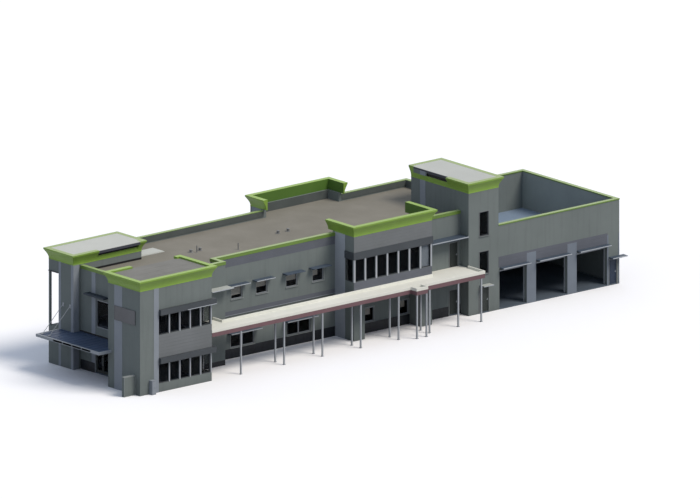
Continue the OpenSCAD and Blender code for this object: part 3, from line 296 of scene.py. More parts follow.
def shell(grid, closed):
    """Joins rings of points into a closed skin: row i of the grid is one ring, each ring is
    joined to the next by four-sided faces, and the two end rings are filled, or the last is
    joined to the first. Faces are turned round where the volume inside comes out negative."""
    rows, cols = grid.shape[:2]
    row = np.arange(rows if closed else rows - 1)[:, None]
    col = np.arange(cols)[None, :]
    after, beside = (row + 1) % rows, (col + 1) % cols
    faces = np.stack([
        row * cols + col, after * cols + col, after * cols + beside, row * cols + beside
    ], -1).reshape(-1, 4).tolist()
    if not closed:
        faces += [list(range(cols))[::-1], list(range((rows - 1) * cols, rows * cols))]
    points = grid.reshape(-1, 3)
    fans = [(face[0], face[i], face[i + 1]) for face in faces for i in range(1, len(face) - 1)]
    volume = np.linalg.det((points - points.mean(0))[np.array(fans)]).sum()
    return points, faces if volume > 0 else [face[::-1] for face in faces]


def mitres(path, normal, closed):
    """How a point moves at each corner of a path, for a step across it. The side of a length
    is normal x its direction, and the mitre at a corner is (side before + side after) /
    (1 + their dot product)."""
    ahead = np.roll(path, -1, 0) - path
    ahead /= np.linalg.norm(ahead, axis=1, keepdims=True)
    after = np.cross(normal, ahead)
    before = np.roll(after, 1, 0)
    if not closed:
        after[-1], before[0] = after[-2], after[0]
        before[-1] = after[-2]
    return (before + after) / (1 + (before * after).sum(1, keepdims=True))


def moulding(profile, path, normal, closed=False):
    """Carries a profile of (across, out) pairs along a path of straight lengths. A point is
    path + across * mitre + out * normal."""
    profile, path, normal = (np.asarray(a, float) for a in (profile, path, normal))
    mitre = mitres(path, normal, closed)
    grid = path[:, None] + profile[None, :, :1] * mitre[:, None] + profile[None, :, 1:] * normal
    return shell(grid, closed)


def bar(wide, proud, ease=STRIP_EASE):
    """The section of a flat strip: wide across, proud of its wall, with eased edges."""
    half = wide / 2
    return [(-half, 0), (-half, proud - ease), (-half + ease, proud),
            (half - ease, proud), (half, proud - ease), (half, 0)]


def board(side, at, a0, a1, z0, z1, proud, ease=STRIP_EASE):
    """A flat board on a wall face: between a0 and a1 along the wall and z0 and z1 up it."""
    out = np.array(OUTWARD[side], float)
    foot = np.abs(out) * at + np.abs(out[[1, 0, 2]]) * (a0 + a1) / 2
    return moulding(bar(abs(a1 - a0), proud, ease), [foot + z0 * UP, foot + z1 * UP], out)


def piece(name, parts, material, body="building"):
    """Joins finished parts into one piece, gives it its material and seats it on a body."""
    starts = np.cumsum([0] + [len(points) for points, _ in parts])
    mesh = bpy.data.meshes.new(name)
    mesh.from_pydata(
        np.concatenate([points for points, _ in parts]).tolist(), [],
        [[i + start for i in face] for (_, faces), start in zip(parts, starts)
         for face in faces])
    mesh.materials.append(material)
    made = bpy.data.objects.new(name, mesh)
    bpy.context.scene.collection.objects.link(made)
    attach(made, body)
    return made


# The faces of the walls, block by block
wing_x0, wing_x1, wing_y0, _, _, crown_foot = span("wing_front_wall")
entry_x0, _, _, _, _, parapet_foot = span("entrance_wall_beside_door")
tower_x0, tower_x1, tower_y0, tower_y1, _, _ = span("corner_tower_end_walls")
main_x0, _, main_y0, _, _, storey_split = span("main_front_wall_ground")
bay_x0, bay_x1, bay_y0, _, _, _ = span("bay_upper_wall")
stair_x0, stair_x1, _, stair_y1, _, stair_crown_foot = span("stair_tower_walls")
stair_y0 = span("stair_tower_front_sides")[2]
link_x1, link_y = span("left_link_wall")[1:3]
back_y = span("main_back_wall")[3]
rear_bay_y1 = span("rear_bay_wall")[3]
garage_x0, garage_x1, _, garage_y1 = span("garage_walls")[:4]
garage_y0 = span("garage_piers")[2]
floor_top, main_top = span("first_floor")[5], span("main_roof")[5]


def strip(side, at, start, reach, foot, head):
    """A strip on a wall face. Its two edges are measured from a start along the wall."""
    return board(side, at, start + reach[0], start + reach[1], foot, head, STRIP_PROUD)


at_start, at_end = (0.0, CORNER_STRIP), (-CORNER_STRIP, 0.0)
rear_side = (0.0, rear_bay_y1 - REAR_STRIP_SHORT - back_y)
pilaster_render = coat("trowelled_render", "#828992", "#8e959d", **TROWELLED)
piece("pilaster_strips", [
    strip("front", wing_y0, wing_x0, WING_STRIP, 0.0, crown_foot),
    strip("left", wing_x0, wing_y0, WING_SIDE_STRIP, 0.0, crown_foot),
    strip("left", entry_x0, wing_y0, ENTRANCE_STRIP, 0.0, parapet_foot),
    strip("left", tower_x0, tower_y0, at_start, 0.0, crown_foot),
    strip("front", tower_y0, tower_x0, (0.0, TOWER_FRONT_STRIP), 0.0, crown_foot),
    strip("left", tower_x0, tower_y0, TOWER_STRIP, 0.0, crown_foot),
    strip("front", link_y, wing_x1, at_start, floor_top, parapet_foot),
    strip("left", bay_x0, back_y, rear_side, PLINTH_HIGH, crown_foot),
    strip("right", bay_x1, back_y, rear_side, PLINTH_HIGH, crown_foot),
    strip("back", garage_y1, garage_x1, at_end, 0.0, GARAGE_STRIP_HIGH),
    strip("right", garage_x1, garage_y0, at_start, 0.0, GARAGE_STRIP_HIGH),
    strip("right", garage_x1, garage_y1, at_end, 0.0, GARAGE_STRIP_HIGH),
    strip("left", stair_x0, stair_y0, STAIR_STRIP, main_top, stair_crown_foot),
], pilaster_render)
# Painted light: the bay's left corner strip is a paler copy of the trowelled render, lighter to
# make up for the shade of the corner
lit_render = coat("trowelled_render_painted_light", "#989fa8", "#a4abb4", **TROWELLED)
piece("bay_corner_strip", [
    board("left", bay_x0, link_y, main_y0, 0.0, crown_foot, STRIP_PROUD)],
    lit_render)

# ---------------------------------------------------------------- plank bands
# Fibre-cement planks, nailed in level courses with a shadow gap between them. They are a
# violet grey under the parapet and over the canopy, and a plain grey round the glazing.

PLANK_PROUD = 0.006
PLANK_EASE = 0.002
PLANK_HIGH = 0.14
PLANK_JOINT = 0.006
LOW_BAND = 1.650
CANOPY_LEDGE = 1.885
MAIN_BAND = 2.070
HIGH_BAND = 4.000
GARAGE_BAND = 2.300
GARAGE_BAND_SHORT = 0.650
OVER_VEHICLES = 0.060
BEAD_HIGH = 0.024
PLANK_FACE = dict(patch=1.4, grain=0.020, relief=0.0008, roughness=0.7)


def corner_points(node):
    """The corners of a node's triangles, to a tenth of a millimetre."""
    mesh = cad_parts[node].data
    points = np.zeros(len(mesh.vertices) * 3)
    mesh.vertices.foreach_get("co", points)
    return points.reshape(-1, 3).round(4)


def levels(node, axis):
    """Every coordinate that a node's corners take along one axis, in order."""
    return np.unique(corner_points(node)[:, axis])


def divided(start, end, part, joint):
    """Splits a length into the nearest whole number of equal parts, with a joint at the end
    of each."""
    ends = np.linspace(start, end, 1 + max(1, int(round(abs(end - start) / part))))
    return [(a, b - joint) for a, b in zip(ends, ends[1:])]


def planks(side, at, a0, a1, z0, z1):
    """Equal courses of plank that fill a band."""
    return [board(side, at, a0, a1, foot, head, PLANK_PROUD, PLANK_EASE)
            for foot, head in divided(z0, z1, PLANK_HIGH, PLANK_JOINT)]


lower_header_top, upper_sill = levels("glazing_headers", 2)[1], levels("wing_posts", 2)[2]
bay_header_top, bay_sill = span("glazing_headers")[5], levels("bay_posts", 2)[0]
kerb_top = span("canopy_kerbs")[5]
vehicle_head = span("garage_piers")[5]
# Each band is (side, face, from, to, foot, head)
VIOLET_BANDS = [
    ("front", main_y0, main_x0, bay_x0, CANOPY_LEDGE, MAIN_BAND),
    ("front", main_y0, main_x0, bay_x0, HIGH_BAND, parapet_foot),
    ("front", bay_y0, bay_x0, bay_x1, kerb_top, bay_sill),
    ("front", garage_y0, stair_x1, garage_x1 - GARAGE_BAND_SHORT,
     vehicle_head + OVER_VEHICLES, GARAGE_BAND),
    ("back", back_y, tower_x1, bay_x0, LOW_BAND, MAIN_BAND),
    ("back", back_y, tower_x1, bay_x0, HIGH_BAND, parapet_foot),
    ("back", back_y, bay_x1, stair_x1, LOW_BAND, MAIN_BAND),
    ("back", back_y, bay_x1, stair_x1, HIGH_BAND, parapet_foot),
    ("back", rear_bay_y1, bay_x0, bay_x1, LOW_BAND, bay_sill),
    ("back", garage_y1, garage_x0, garage_x1, LOW_BAND, GARAGE_BAND),
    ("right", garage_x1, garage_y0, garage_y1, LOW_BAND, GARAGE_BAND),
]
GREY_BANDS = [
    ("front", wing_y0, wing_x0 + WING_STRIP[1], wing_x1, lower_header_top, upper_sill),
    ("right", wing_x1, wing_y0, link_y, lower_header_top, upper_sill),
    ("front", bay_y0, bay_x0, bay_x1, bay_header_top, crown_foot - BEAD_HIGH),
    ("back", rear_bay_y1, bay_x0, bay_x1, bay_header_top, crown_foot - BEAD_HIGH),
]
violet_plank = coat("fibre_cement_plank", "#5a5e66", "#62666f", **PLANK_FACE)
piece("plank_bands", [plank for band in VIOLET_BANDS for plank in planks(*band)],
      violet_plank)
grey_plank = coat("grey_cement_plank", "#6b6f71", "#73777a", **PLANK_FACE)
piece("grey_plank_bands", [plank for band in GREY_BANDS for plank in planks(*band)],
      grey_plank)

# ---------------------------------------------------------------- dark plinth
# A plinth of near-black ceramic slabs against splashing, bedded on the wall round the
# walkway, the recess and the entrance side, with open joints between the slabs.

LOW_PLINTH_HIGH = 0.22
SLAB_LONG = 0.45
SLAB_JOINT = 0.004
SLAB_PROUD = 0.010
DOOR_MARGIN = 0.060
BAY_PIER_REACH = 0.65
BAY_WALL_REACH = 0.20


def plinth(side, at, a0, a1, high):
    """A row of equal slabs along a wall between a0 and a1."""
    return [board(side, at, start, end, 0.0, high, SLAB_PROUD)
            for start, end in divided(a0, a1, SLAB_LONG, SLAB_JOINT)]


# The recess lies between the bay's ground piers: its ends are the last level within reach
# of each corner, and its wall is the first level behind the piers' front
bay_xs, bay_ys = levels("bay_ground_wall", 0), levels("bay_ground_wall", 1)
recess_x0 = bay_xs[bay_xs < bay_x0 + BAY_PIER_REACH][-1]
recess_x1 = bay_xs[bay_xs > bay_x1 - BAY_PIER_REACH][0]
recess_y = bay_ys[bay_ys > bay_y0 + BAY_WALL_REACH][0]
door_x0, door_x1 = span("right_link_wall_over_doors")[:2]
entry_door_y0, entry_door_y1 = span("entrance_wall_over_door")[2:4]
wing_y1 = span("wing_side_walls")[3]
# Each row is (side, face, from, to, height)
PLINTHS = [
    ("front", link_y, wing_x1, link_x1, LOW_PLINTH_HIGH),
    ("front", main_y0, link_x1, bay_x0, PLINTH_HIGH),
    ("front", recess_y, recess_x0, recess_x1, PLINTH_HIGH),
    ("front", link_y, bay_x1, door_x0 - DOOR_MARGIN, PLINTH_HIGH),
    ("front", link_y, door_x1 + DOOR_MARGIN, stair_x0, PLINTH_HIGH),
    ("back", back_y, tower_x1, bay_x0, PLINTH_HIGH),
    ("back", back_y, bay_x1, stair_x1, PLINTH_HIGH),
    ("back", rear_bay_y1, bay_x0, bay_x1, PLINTH_HIGH),
    ("left", bay_x0, back_y, rear_bay_y1, PLINTH_HIGH),
    ("right", bay_x1, back_y, rear_bay_y1, PLINTH_HIGH),
    ("left", entry_x0, wing_y1, entry_door_y0 - DOOR_MARGIN, PLINTH_HIGH),
    ("left", entry_x0, entry_door_y1 + DOOR_MARGIN, tower_y0, PLINTH_HIGH),
]
plinth_slab = coat("ceramic_plinth_slab", "#15181e", "#1f232a",
                   patch=0.5, grain=0.012, roughness=0.45)
piece("plinth_slabs", [slab for row in PLINTHS for slab in plinth(*row)],
      plinth_slab)

# ---------------------------------------------------------------- crowns and copings
# The flared crowns are coved sheet steel on a frame, mitred at the corners and enamelled
# green. Faces that look up are a lighter green, a painted highlight for light falling on the
# tops. The copings are folded from the same sheet.

CROWN_GREEN = ("#77973d", "#82a345")
# The lit-top colours are painted highlights on the faces that look up
LIT_TOP_GREEN = "#8cab52"
LIT_TOP_OLIVE = "#90a46a"
COPING_GREEN = ("#617c37", "#6b873f")
COPING_LIT_TOP = "#93a871"
LOOKS_UP = 0.9
BEAD_PROUD = 0.012
BEAD_STEPS = 7
CROWN_THICK = 0.060
WALL_THICK = 0.150
SHADE_BOARD_SHORT = 0.012
SHADE_BOARD_PROUD = 0.003
FLASHING_PROUD = 0.004
FLASHING_REACH = 0.12
CAPPING_SHOWS = 0.022
LONG_COPING = 1.0
BACK_PARAPET = 3.0
TOWER_OVERLAP = 0.5
STEEL_SHEET = dict(patch=1.8, grain=0.050, relief=0.0006)


def enamel(name, shades, capping):
    """Stove enamel on steel: satin, even in colour. Faces that look up take the capping colour,
    a lighter painted highlight for light on the top: a face's own normal has a Z of more than
    0.9."""
    material, tree, shader, colour = coated(name, *shades, roughness=0.42, **STEEL_SHEET)
    normal = add(tree, "NewGeometry").outputs["True Normal"]
    rise = add(tree, "SeparateXYZ", {"Vector": normal}).outputs["Z"]
    level = arithmetic(tree, "GREATER_THAN", rise, LOOKS_UP)
    # Painted highlight: faces that look up take the lighter colour
    lit_top_colour = blend(tree, level, colour, linear(capping))
    tree.links.new(lit_top_colour, shader.inputs["Base Color"])
    return material


def foot_bead(x0, x1, y0, y1, foot, closed=True):
    """The half-round bead under a crown: a closed loop, or the three sides before y1."""
    loop = [(x0, y1), (x0, y0), (x1, y0), (x1, y1)]
    section = [(-BEAD_PROUD * np.sin(t), -BEAD_HIGH / 2 * (1 + np.cos(t)))
               for t in np.linspace(0, np.pi, BEAD_STEPS)]
    return moulding(section, [(x, y, foot) for x, y in loop], UP, closed)


def solid_boxes(node):
    """The box of each separate solid of a node, as x0, x1, y0, y1, z0, z1. Corners that
    share a triangle take the lowest label among them until no label changes."""
    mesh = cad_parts[node].data
    corners = np.zeros(len(mesh.loops), int)
    mesh.loops.foreach_get("vertex_index", corners)
    points, same = np.unique(corner_points(node), axis=0, return_inverse=True)
    faces = same.ravel()[corners].reshape(-1, 3)
    label = np.arange(len(points))
    while True:
        lowest = label.copy()
        np.minimum.at(lowest, faces.ravel(), label[faces].min(1).repeat(3))
        if (lowest == label).all():
            break
        label = lowest
    return [np.stack([points[label == i].min(0), points[label == i].max(0)], 1).ravel()
            for i in np.unique(label)]


# The painted highlight on the towers' tops is an olive green, and the copings are a duller
# green than the crowns
crown_enamel = enamel("stove_enamel_green", CROWN_GREEN, LIT_TOP_GREEN)
tower_enamel = enamel("tower_enamel_green", CROWN_GREEN, LIT_TOP_OLIVE)
coping_enamel = enamel("coping_enamel_green", COPING_GREEN, COPING_LIT_TOP)
paint(crown_enamel, "wing_crown", "bay_crowns")
paint(tower_enamel, "corner_tower_crown", "stair_tower_crown")
paint(coping_enamel, "parapet_coping", "screen_coping")
piece("crown_foot_beads", [
    foot_bead(wing_x0, wing_x1, wing_y0, wing_y1, crown_foot),
    foot_bead(tower_x0, tower_x1, tower_y0, tower_y1, crown_foot),
    foot_bead(bay_x0, bay_x1, bay_y0, main_y0, crown_foot, closed=False),
    foot_bead(bay_x1, bay_x0, rear_bay_y1, back_y, crown_foot, closed=False),
    foot_bead(stair_x0, stair_x1, stair_y0, stair_y1, stair_crown_foot),
], crown_enamel)

# Painted shade: darker green boards on the inner faces of the bay crowns, along the back of
# each coved bar, stand for the shade inside the crowns
crown_ys = levels("bay_crowns", 1)
front_end = crown_ys[crown_ys < 0][-1]
rear_end = crown_ys[crown_ys > front_end][0]
shaded_x0, shaded_x1 = bay_x0 + CROWN_THICK, bay_x1 - CROWN_THICK
shaded_y0, shaded_y1 = bay_y0 + CROWN_THICK, rear_bay_y1 - CROWN_THICK
shade_board_top = span("bay_crowns")[5] - SHADE_BOARD_SHORT
# Each shade board is (side, face, from, to)
INNER_SHADE_BOARDS = [("back", shaded_y0, shaded_x0, shaded_x1), ("front", shaded_y1, shaded_x0, shaded_x1)]
for y0, y1 in ((shaded_y0, front_end), (rear_end, shaded_y1)):
    INNER_SHADE_BOARDS += [("right", shaded_x0, y0, y1), ("left", shaded_x1, y0, y1)]
# Painted shade: a darker green for the crowns' inner faces
inner_shade_green = coat("crown_inner_painted_shade", "#4a6a2a", "#547531", **STEEL_SHEET)
piece("crown_inner_shade_boards", [board(*row, crown_foot, shade_board_top, SHADE_BOARD_PROUD) for row in INNER_SHADE_BOARDS],
      inner_shade_green)

# Painted shade: a dark grey board covers the rear bay's wall below its crown, where the crown
# shades it. Grey flashing covers the inner face of the back parapet below the capping; it is
# grey, and its darkness is painted shade.
# Painted shade: this dark grey stands for walls in shade, and darkens the grey flashing
flashing_and_shade_grey = coat("grey_flashing_and_painted_shade", "#4d5352", "#565c5b",
                     patch=0.8, relief=0.0006, roughness=0.6)
piece("rear_bay_painted_shade", [
    board("front", rear_bay_y1 - WALL_THICK, bay_x0 + WALL_THICK, bay_x1 - WALL_THICK,
          main_top, crown_foot, FLASHING_PROUD)], flashing_and_shade_grey)
flashings = []
for x0, x1, y0, y1, z0, z1 in solid_boxes("parapet_coping"):
    at_back = y1 > main_y0 + BACK_PARAPET and x0 > tower_x1 - TOWER_OVERLAP
    if not at_back or x1 - x0 + y1 - y0 <= LONG_COPING:
        continue
    row = ("front", y0, x0, x1) if x1 - x0 > LONG_COPING else ("left", x0, y0, y1)
    flashings.append(board(*row, z0 - FLASHING_REACH, z1 - CAPPING_SHOWS, FLASHING_PROUD))
piece("parapet_flashings", flashings, flashing_and_shade_grey)

# ---------------------------------------------------------------- flat roofs and floors
# Bitumen felt with a stone chipping finish, laid in lapped rolls over the slabs. The wing
# has a cooler grey felt than the main block. The floors below are bare floated concrete.

FELT_ROLL = 0.50
LAP_WIDE = 0.030
LAP_HIGH = 0.004
LAP_EASE = 0.001


def laps(node):
    """The raised edges of the rolls on a roof: one flat strip along X at each roll width."""
    x0, x1, y0, y1, _, top = span(node)
    edges = np.arange(y0 + FELT_ROLL, y1 - FELT_ROLL / 2, FELT_ROLL)
    return [moulding(bar(LAP_WIDE, LAP_HIGH, LAP_EASE), [(x0, y, top), (x1, y, top)], UP)
            for y in edges]


main_felt = coat("chipped_roof_felt", "#77746b", "#827f76",
                 patch=1.6, grain=0.040, relief=0.0030, roughness=0.95)
wing_felt = coat("grey_roof_felt", "#757571", "#7e7e7a",
                 patch=1.2, grain=0.040, relief=0.0025, roughness=0.95)
slab_concrete = coat("power_floated_concrete", "#4a545f", "#56606b",
                     patch=1.5, grain=0.03, relief=0.001, roughness=0.6)
paint(main_felt, "main_roof")
paint(wing_felt, "wing_roof")
paint(slab_concrete, "ground_floor", "first_floor")
piece("wing_felt_laps", laps("wing_roof"), wing_felt)

# ---------------------------------------------------------------- profiled sheet roofs
# Light coated steel sheets with shallow standing ribs, in one length from eave to eave, on
# the corner tower and the stair tower. The deck over the garage is a pale sheet coloured
# blue-grey, painted shade for a deck lying in shadow.

RIB_PITCH = 0.100
RIB_TOP = 0.030
RIB_DEEP = 0.005
RIB_SLOPE = 0.010
BLOCK_EASE = 0.003
FOLD_EASE = 0.004
# Where the faces of the hatch's kerb and lid lie: left and right from the tower's right
# side, front and back from its front, foot and head from the roof
HATCH_KERB = (0.01, 1.50, 0.27, 1.02, 0.0, 0.030)
HATCH_LID = (0.04, 1.47, 0.30, 0.99, 0.028, 0.045)
COATED_SHEET = dict(patch=2.5, grain=0.060, relief=0.0006)


def ribbed_sheet(x0, x1, y0, y1, low, top, along):
    """A profiled sheet: a comb of ribs across, carried straight along the fall. The ribs
    stand RIB_DEEP over the pans, and the underside is flat."""
    wide, long = (y1 - y0, x1 - x0) if along == "x" else (x1 - x0, y1 - y0)
    count = max(2, int(round(wide / RIB_PITCH)))
    pitch = wide / count
    rib = np.array([(RIB_SLOPE, RIB_DEEP), (RIB_SLOPE + RIB_TOP, RIB_DEEP),
                    (2 * RIB_SLOPE + RIB_TOP, 0), (pitch, 0)])
    comb = (rib[None] + np.arange(count)[:, None, None] * (pitch, 0)).reshape(-1, 2)
    under = low - top + RIB_DEEP
    comb = np.concatenate([[(0, 0)], comb, [(wide, under), (0, under)]])
    comb += (-wide / 2, top - RIB_DEEP)
    middle = np.array([(x0 + x1) / 2, (y0 + y1) / 2, 0])
    half = np.array([long / 2, 0, 0]) if along == "x" else np.array([0, long / 2, 0])
    return moulding(comb, [middle - half, middle + half], UP)


def block(x0, x1, y0, y1, z0, z1, ease=BLOCK_EASE):
    """A box with every edge eased: four rings of eight corners, where the first and the
    last are drawn in by the ease and each ring's corners are cut by the same amount."""
    middle = np.array([(x0 + x1) / 2, (y0 + y1) / 2])
    half = np.array([x1 - x0, y1 - y0]) / 2
    turn = np.array([(1, 1), (-1, 1), (-1, -1), (1, -1)])
    cut = np.array([(0, ease), (ease, 0)])
    rings = []
    for inset, z in ((ease, z0), (0, z0 + ease), (0, z1 - ease), (ease, z1)):
        pairs = np.stack([turn * (half - inset - cut[i]) for i in (0, 1)], 1)
        pairs[1::2] = pairs[1::2, ::-1]
        ring = pairs.reshape(-1, 2) + middle
        rings.append(np.column_stack([ring, np.full(8, z)]))
    return shell(np.array(rings), False)


def shifted(box, past, faces=range(6), ease=BLOCK_EASE):
    """A block whose six faces (left, right, front, back, foot, head) lie past those of a
    box. Each is measured from the box's own face, or from the one listed in its place."""
    return block(*(np.array(box)[list(faces)] + past), ease)


# Each roof lies inside its crown; the corner tower's runs out over the slot at its front,
# and the stair tower's has a folded trim over the slot at its left
corner_roof, stair_roof = sorted(solid_boxes("tower_roofs"), key=lambda box: box[0])
corner_x0, slot_x0, slot_x1, corner_x1, _, stair_in, _ = levels("tower_roofs", 0)
_, flat_y, flat_y1, _, eaves_y, corner_in, _ = levels("tower_roofs", 1)
roof_low, roof_top = corner_roof[4:]
stair_low, stair_top = stair_roof[4:]
roof_pale = coat("pale_roof_sheet", "#b2b5b0", "#babdb8", **COATED_SHEET)
tower_sheets = piece("tower_roof_sheets", [
    ribbed_sheet(corner_x0, corner_x1, corner_in, corner_roof[3], roof_low, roof_top, "x"),
    ribbed_sheet(slot_x0, slot_x1, eaves_y, corner_in, roof_low, roof_top, "x"),
    ribbed_sheet(stair_in, stair_roof[1], stair_roof[2], stair_roof[3], stair_low, stair_top,
                 "y"),
    block(stair_x0, stair_in, flat_y, flat_y1, stair_low, stair_top, FOLD_EASE),
], roof_pale)
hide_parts("tower_roofs")
# Painted shade: the garage deck's blue-grey is its look in shadow
deck_shade_paint = coat("garage_deck_painted_shade", "#77889c", "#8192a6", **COATED_SHEET)
paint(deck_shade_paint, "garage_deck")
# A pale hatch lies on the main roof beside the corner tower
hatch_from = (tower_x1, tower_x1, tower_y0, tower_y0, main_top, main_top)
piece("roof_hatch", [shifted(hatch_from, HATCH_KERB), shifted(hatch_from, HATCH_LID)],
      roof_pale)

# ---------------------------------------------------------------- roof slots
# The slot left under each tower roof is closed by louvres, level blades of folded steel in
# front of a dark mesh, screwed to the wall. A slate fascia board runs along the roof's edge.

STAIR_SLOT = 1.430
SLOT_BAND = 0.190
SLOT_DEEP = 0.060
FASCIA_PROUD = 0.004
FASCIA_DROP = 0.014
FASCIA_HIGH = 0.080
INFILL_PROUD = 0.004
LOUVRE_PITCH = 0.045
LOUVRE_START = 0.006
MESH_PROUD, MESH_EASE = 0.006, 0.001
BLADE_SHARE = 0.55
BLADE_PROUD, BLADE_EASE = 0.022, 0.008
DARK_FOOT_FROM = 0.60
DARK_FOOT_HIGH = 0.085
DARK_FOOT_PROUD = 0.012


def louvre(side, at, a0, a1, z0, z1):
    """A dark backing with level blades, each a board that leans out past the one below."""
    blades = np.arange(z0 + LOUVRE_START, z1 - LOUVRE_PITCH / 2, LOUVRE_PITCH)
    return [board(side, at, a0, a1, z0, z1, MESH_PROUD, MESH_EASE)] + [
        board(side, at, a0, a1, z, z + LOUVRE_PITCH * BLADE_SHARE, BLADE_PROUD, BLADE_EASE)
        for z in blades]


band_top, stair_band_top = crown_foot + SLOT_BAND, stair_crown_foot + SLOT_BAND
slot_end = flat_y + STAIR_SLOT
fascia_top, fascia_foot = stair_top - FASCIA_DROP, stair_top - FASCIA_HIGH
louvre_metal = coat("dark_louvre_coating", "#15171a", "#1d1f23", patch=0.8, roughness=0.55)
fascia_metal = coat("slate_fascia_coating", "#3c3e48", "#44464f", patch=0.9)
piece("roof_slot_louvres",
      louvre("front", tower_y0 + SLOT_DEEP, slot_x0, slot_x1, band_top, roof_low)
      + louvre("left", stair_x0 + SLOT_DEEP, flat_y, slot_end, stair_band_top, stair_low),
      louvre_metal)
piece("roof_fascias", [
    board("front", eaves_y, slot_x0, slot_x1, roof_low, roof_top - FASCIA_DROP, FASCIA_PROUD),
    board("left", stair_x0, flat_y, slot_end, stair_low, fascia_top, FASCIA_PROUD),
    board("left", stair_x0, slot_end, flat_y1, fascia_foot, fascia_top, FASCIA_PROUD),
], fascia_metal)
# Behind the slot the stair tower's left face is rendered up to its roof, over the flat band
piece("stair_slot_infill", [
    board("left", stair_x0, slot_end, flat_y1, stair_band_top, fascia_foot, INFILL_PROUD)],
    wall_render)
piece("stair_infill_strip", [
    strip("left", stair_x0, stair_y0, STAIR_STRIP, stair_band_top, fascia_foot)],
    pilaster_render)
# A dark strip runs along the foot of the corner tower's front, on the main roof
piece("tower_foot_dark_strip", [
    board("front", tower_y0, tower_x0 + DARK_FOOT_FROM, tower_x1, main_top,
          main_top + DARK_FOOT_HIGH, DARK_FOOT_PROUD)], louvre_metal)

# ---------------------------------------------------------------- windows
# Lightly tinted glass held in coated aluminium frames: a frame round each pane on the outer
# face, a mullion where a pane is a pair, a flat trim on the wall and a sill with a drip edge.

FRAME_WIDE = 0.035
FRAME_PROUD = 0.040
TRIM_WIDE = 0.032
TRIM_PROUD = 0.012
REVEAL = 0.065
SILL_HIGH = 0.025
SILL_PROUD = 0.040
SILL_PAST = 0.030
SILL_EASE = 0.006
MULLION = 0.060
BAND_LONG = 1.5
PAIR_LONG = 0.9
RETURN_HIGH = 1.1
TALL_HIGH = 0.9
GLASS_OPAQUE = 0.22
GLASS_SHEEN = 0.08
SATIN_PAINT = dict(patch=0.9, grain=0.012, relief=0.0003)

# Float glass with a light grey body tint: the rooms behind are dark, and the corner windows
# are seen through from side to side
tinted_glass, _, shader, _ = coated(
    "grey_tinted_glass", "#0c0f13", "#12161b",
    patch=3.0, grain=0.5, relief=0.0, roughness=0.06, spread=0.03)
shader.inputs["Alpha"].default_value = GLASS_OPAQUE
shader.inputs["Specular IOR Level"].default_value = GLASS_SHEEN
paint(tinted_glass, "ground_window_glass", "upper_window_glass", "entrance_pane_near",
      "entrance_pane_far")

# Satin anodised aluminium for frames, fittings and rods, and paint for posts and columns
satin_aluminium = coat("satin_anodised_aluminium", "#8a9097", "#949aa0",
                       roughness=0.45, metallic=0.25, **SATIN_PAINT)
post_paint = coat("pale_grey_post_paint", "#a0a5ab", "#aaafb5", **SATIN_PAINT)
paint(satin_aluminium, "awning_hangers", "door_hinges")
paint(post_paint, "wing_posts", "bay_posts", "canopy_columns")
# The bands of long windows have dark frames, and the single windows pale ones
frame_dark = coat("dark_frame_coating", "#33373c", "#3a3e43", **SATIN_PAINT)
window_trim = coat("window_trim_paint", "#6c7072", "#74787a", roughness=0.6)
pale_trim = coat("pale_trim_paint", "#848a89", "#8d9392", roughness=0.6)


def on_wall(side, at, along, z):
    """The point on a wall face that stands at a place along the wall and a height."""
    out = np.abs(np.array(OUTWARD[side], float))
    return out * at + out[[1, 0, 2]] * along + z * UP


def casing(side, at, a0, a1, z0, z1, wide, proud):
    """A mitred frame on a wall face: a bar carried round a rectangle, inside its lines."""
    h = wide / 2
    corners = [(a0 + h, z0 + h), (a1 - h, z0 + h), (a1 - h, z1 - h), (a0 + h, z1 - h)]
    return moulding(bar(wide, proud), [on_wall(side, at, a, z) for a, z in corners],
                    OUTWARD[side], closed=True)


def pane_face(box):
    """The side that a pane looks to, its outer face and its extent along the wall. A pane
    that is long in X looks away from the middle, and the others from their own block."""
    x0, x1, y0, y1, z0, z1 = box
    if x1 - x0 > y1 - y0:
        side = "front" if y0 + y1 < 0 else "back"
        return side, y0 if side == "front" else y1, x0, x1, z0, z1
    centres = [(wing_x0 + wing_x1) / 2, (bay_x0 + bay_x1) / 2]
    nearest = min(centres, key=lambda centre: abs(centre - x0))
    side = "left" if x0 < nearest else "right"
    return side, x0 if side == "left" else x1, y0, y1, z0, z1


panes = [pane_face(box) for node in ("ground_window_glass", "upper_window_glass")
         for box in solid_boxes(node)]
pale, dark, stair_trims, pale_trims = [], [], [], []
for side, at, a0, a1, z0, z1 in panes:
    long, high, middle = a1 - a0, z1 - z0, (a0 + a1) / 2
    faces_y = side in ("front", "back")
    in_band = long > BAND_LONG or not faces_y and high < RETURN_HIGH
    tall = faces_y and not in_band and high > TALL_HIGH
    frames = dark if in_band or tall else pale
    frames.append(casing(side, at, a0, a1, z0, z1, FRAME_WIDE, FRAME_PROUD))
    if PAIR_LONG < long < BAND_LONG and z1 < storey_split:
        pale.append(board(side, at, middle - MULLION / 2, middle + MULLION / 2, z0, z1,
                          FRAME_PROUD))
    if long < BAND_LONG and faces_y:
        wall = at + REVEAL * OUTWARD[side][1]
        trims = stair_trims if tall else pale_trims
        trims.append(casing(side, wall, a0 - TRIM_WIDE, a1 + TRIM_WIDE, z0 - TRIM_WIDE,
                            z1 + TRIM_WIDE, TRIM_WIDE, TRIM_PROUD))
        trims.append(board(side, wall, a0 - SILL_PAST, a1 + SILL_PAST, z0 - SILL_HIGH, z0,
                           SILL_PROUD, SILL_EASE))
piece("window_frames", pale, satin_aluminium)
piece("band_frames", dark, frame_dark)
piece("window_trims", pale_trims, pale_trim)
piece("stair_window_trims", stair_trims, window_trim)

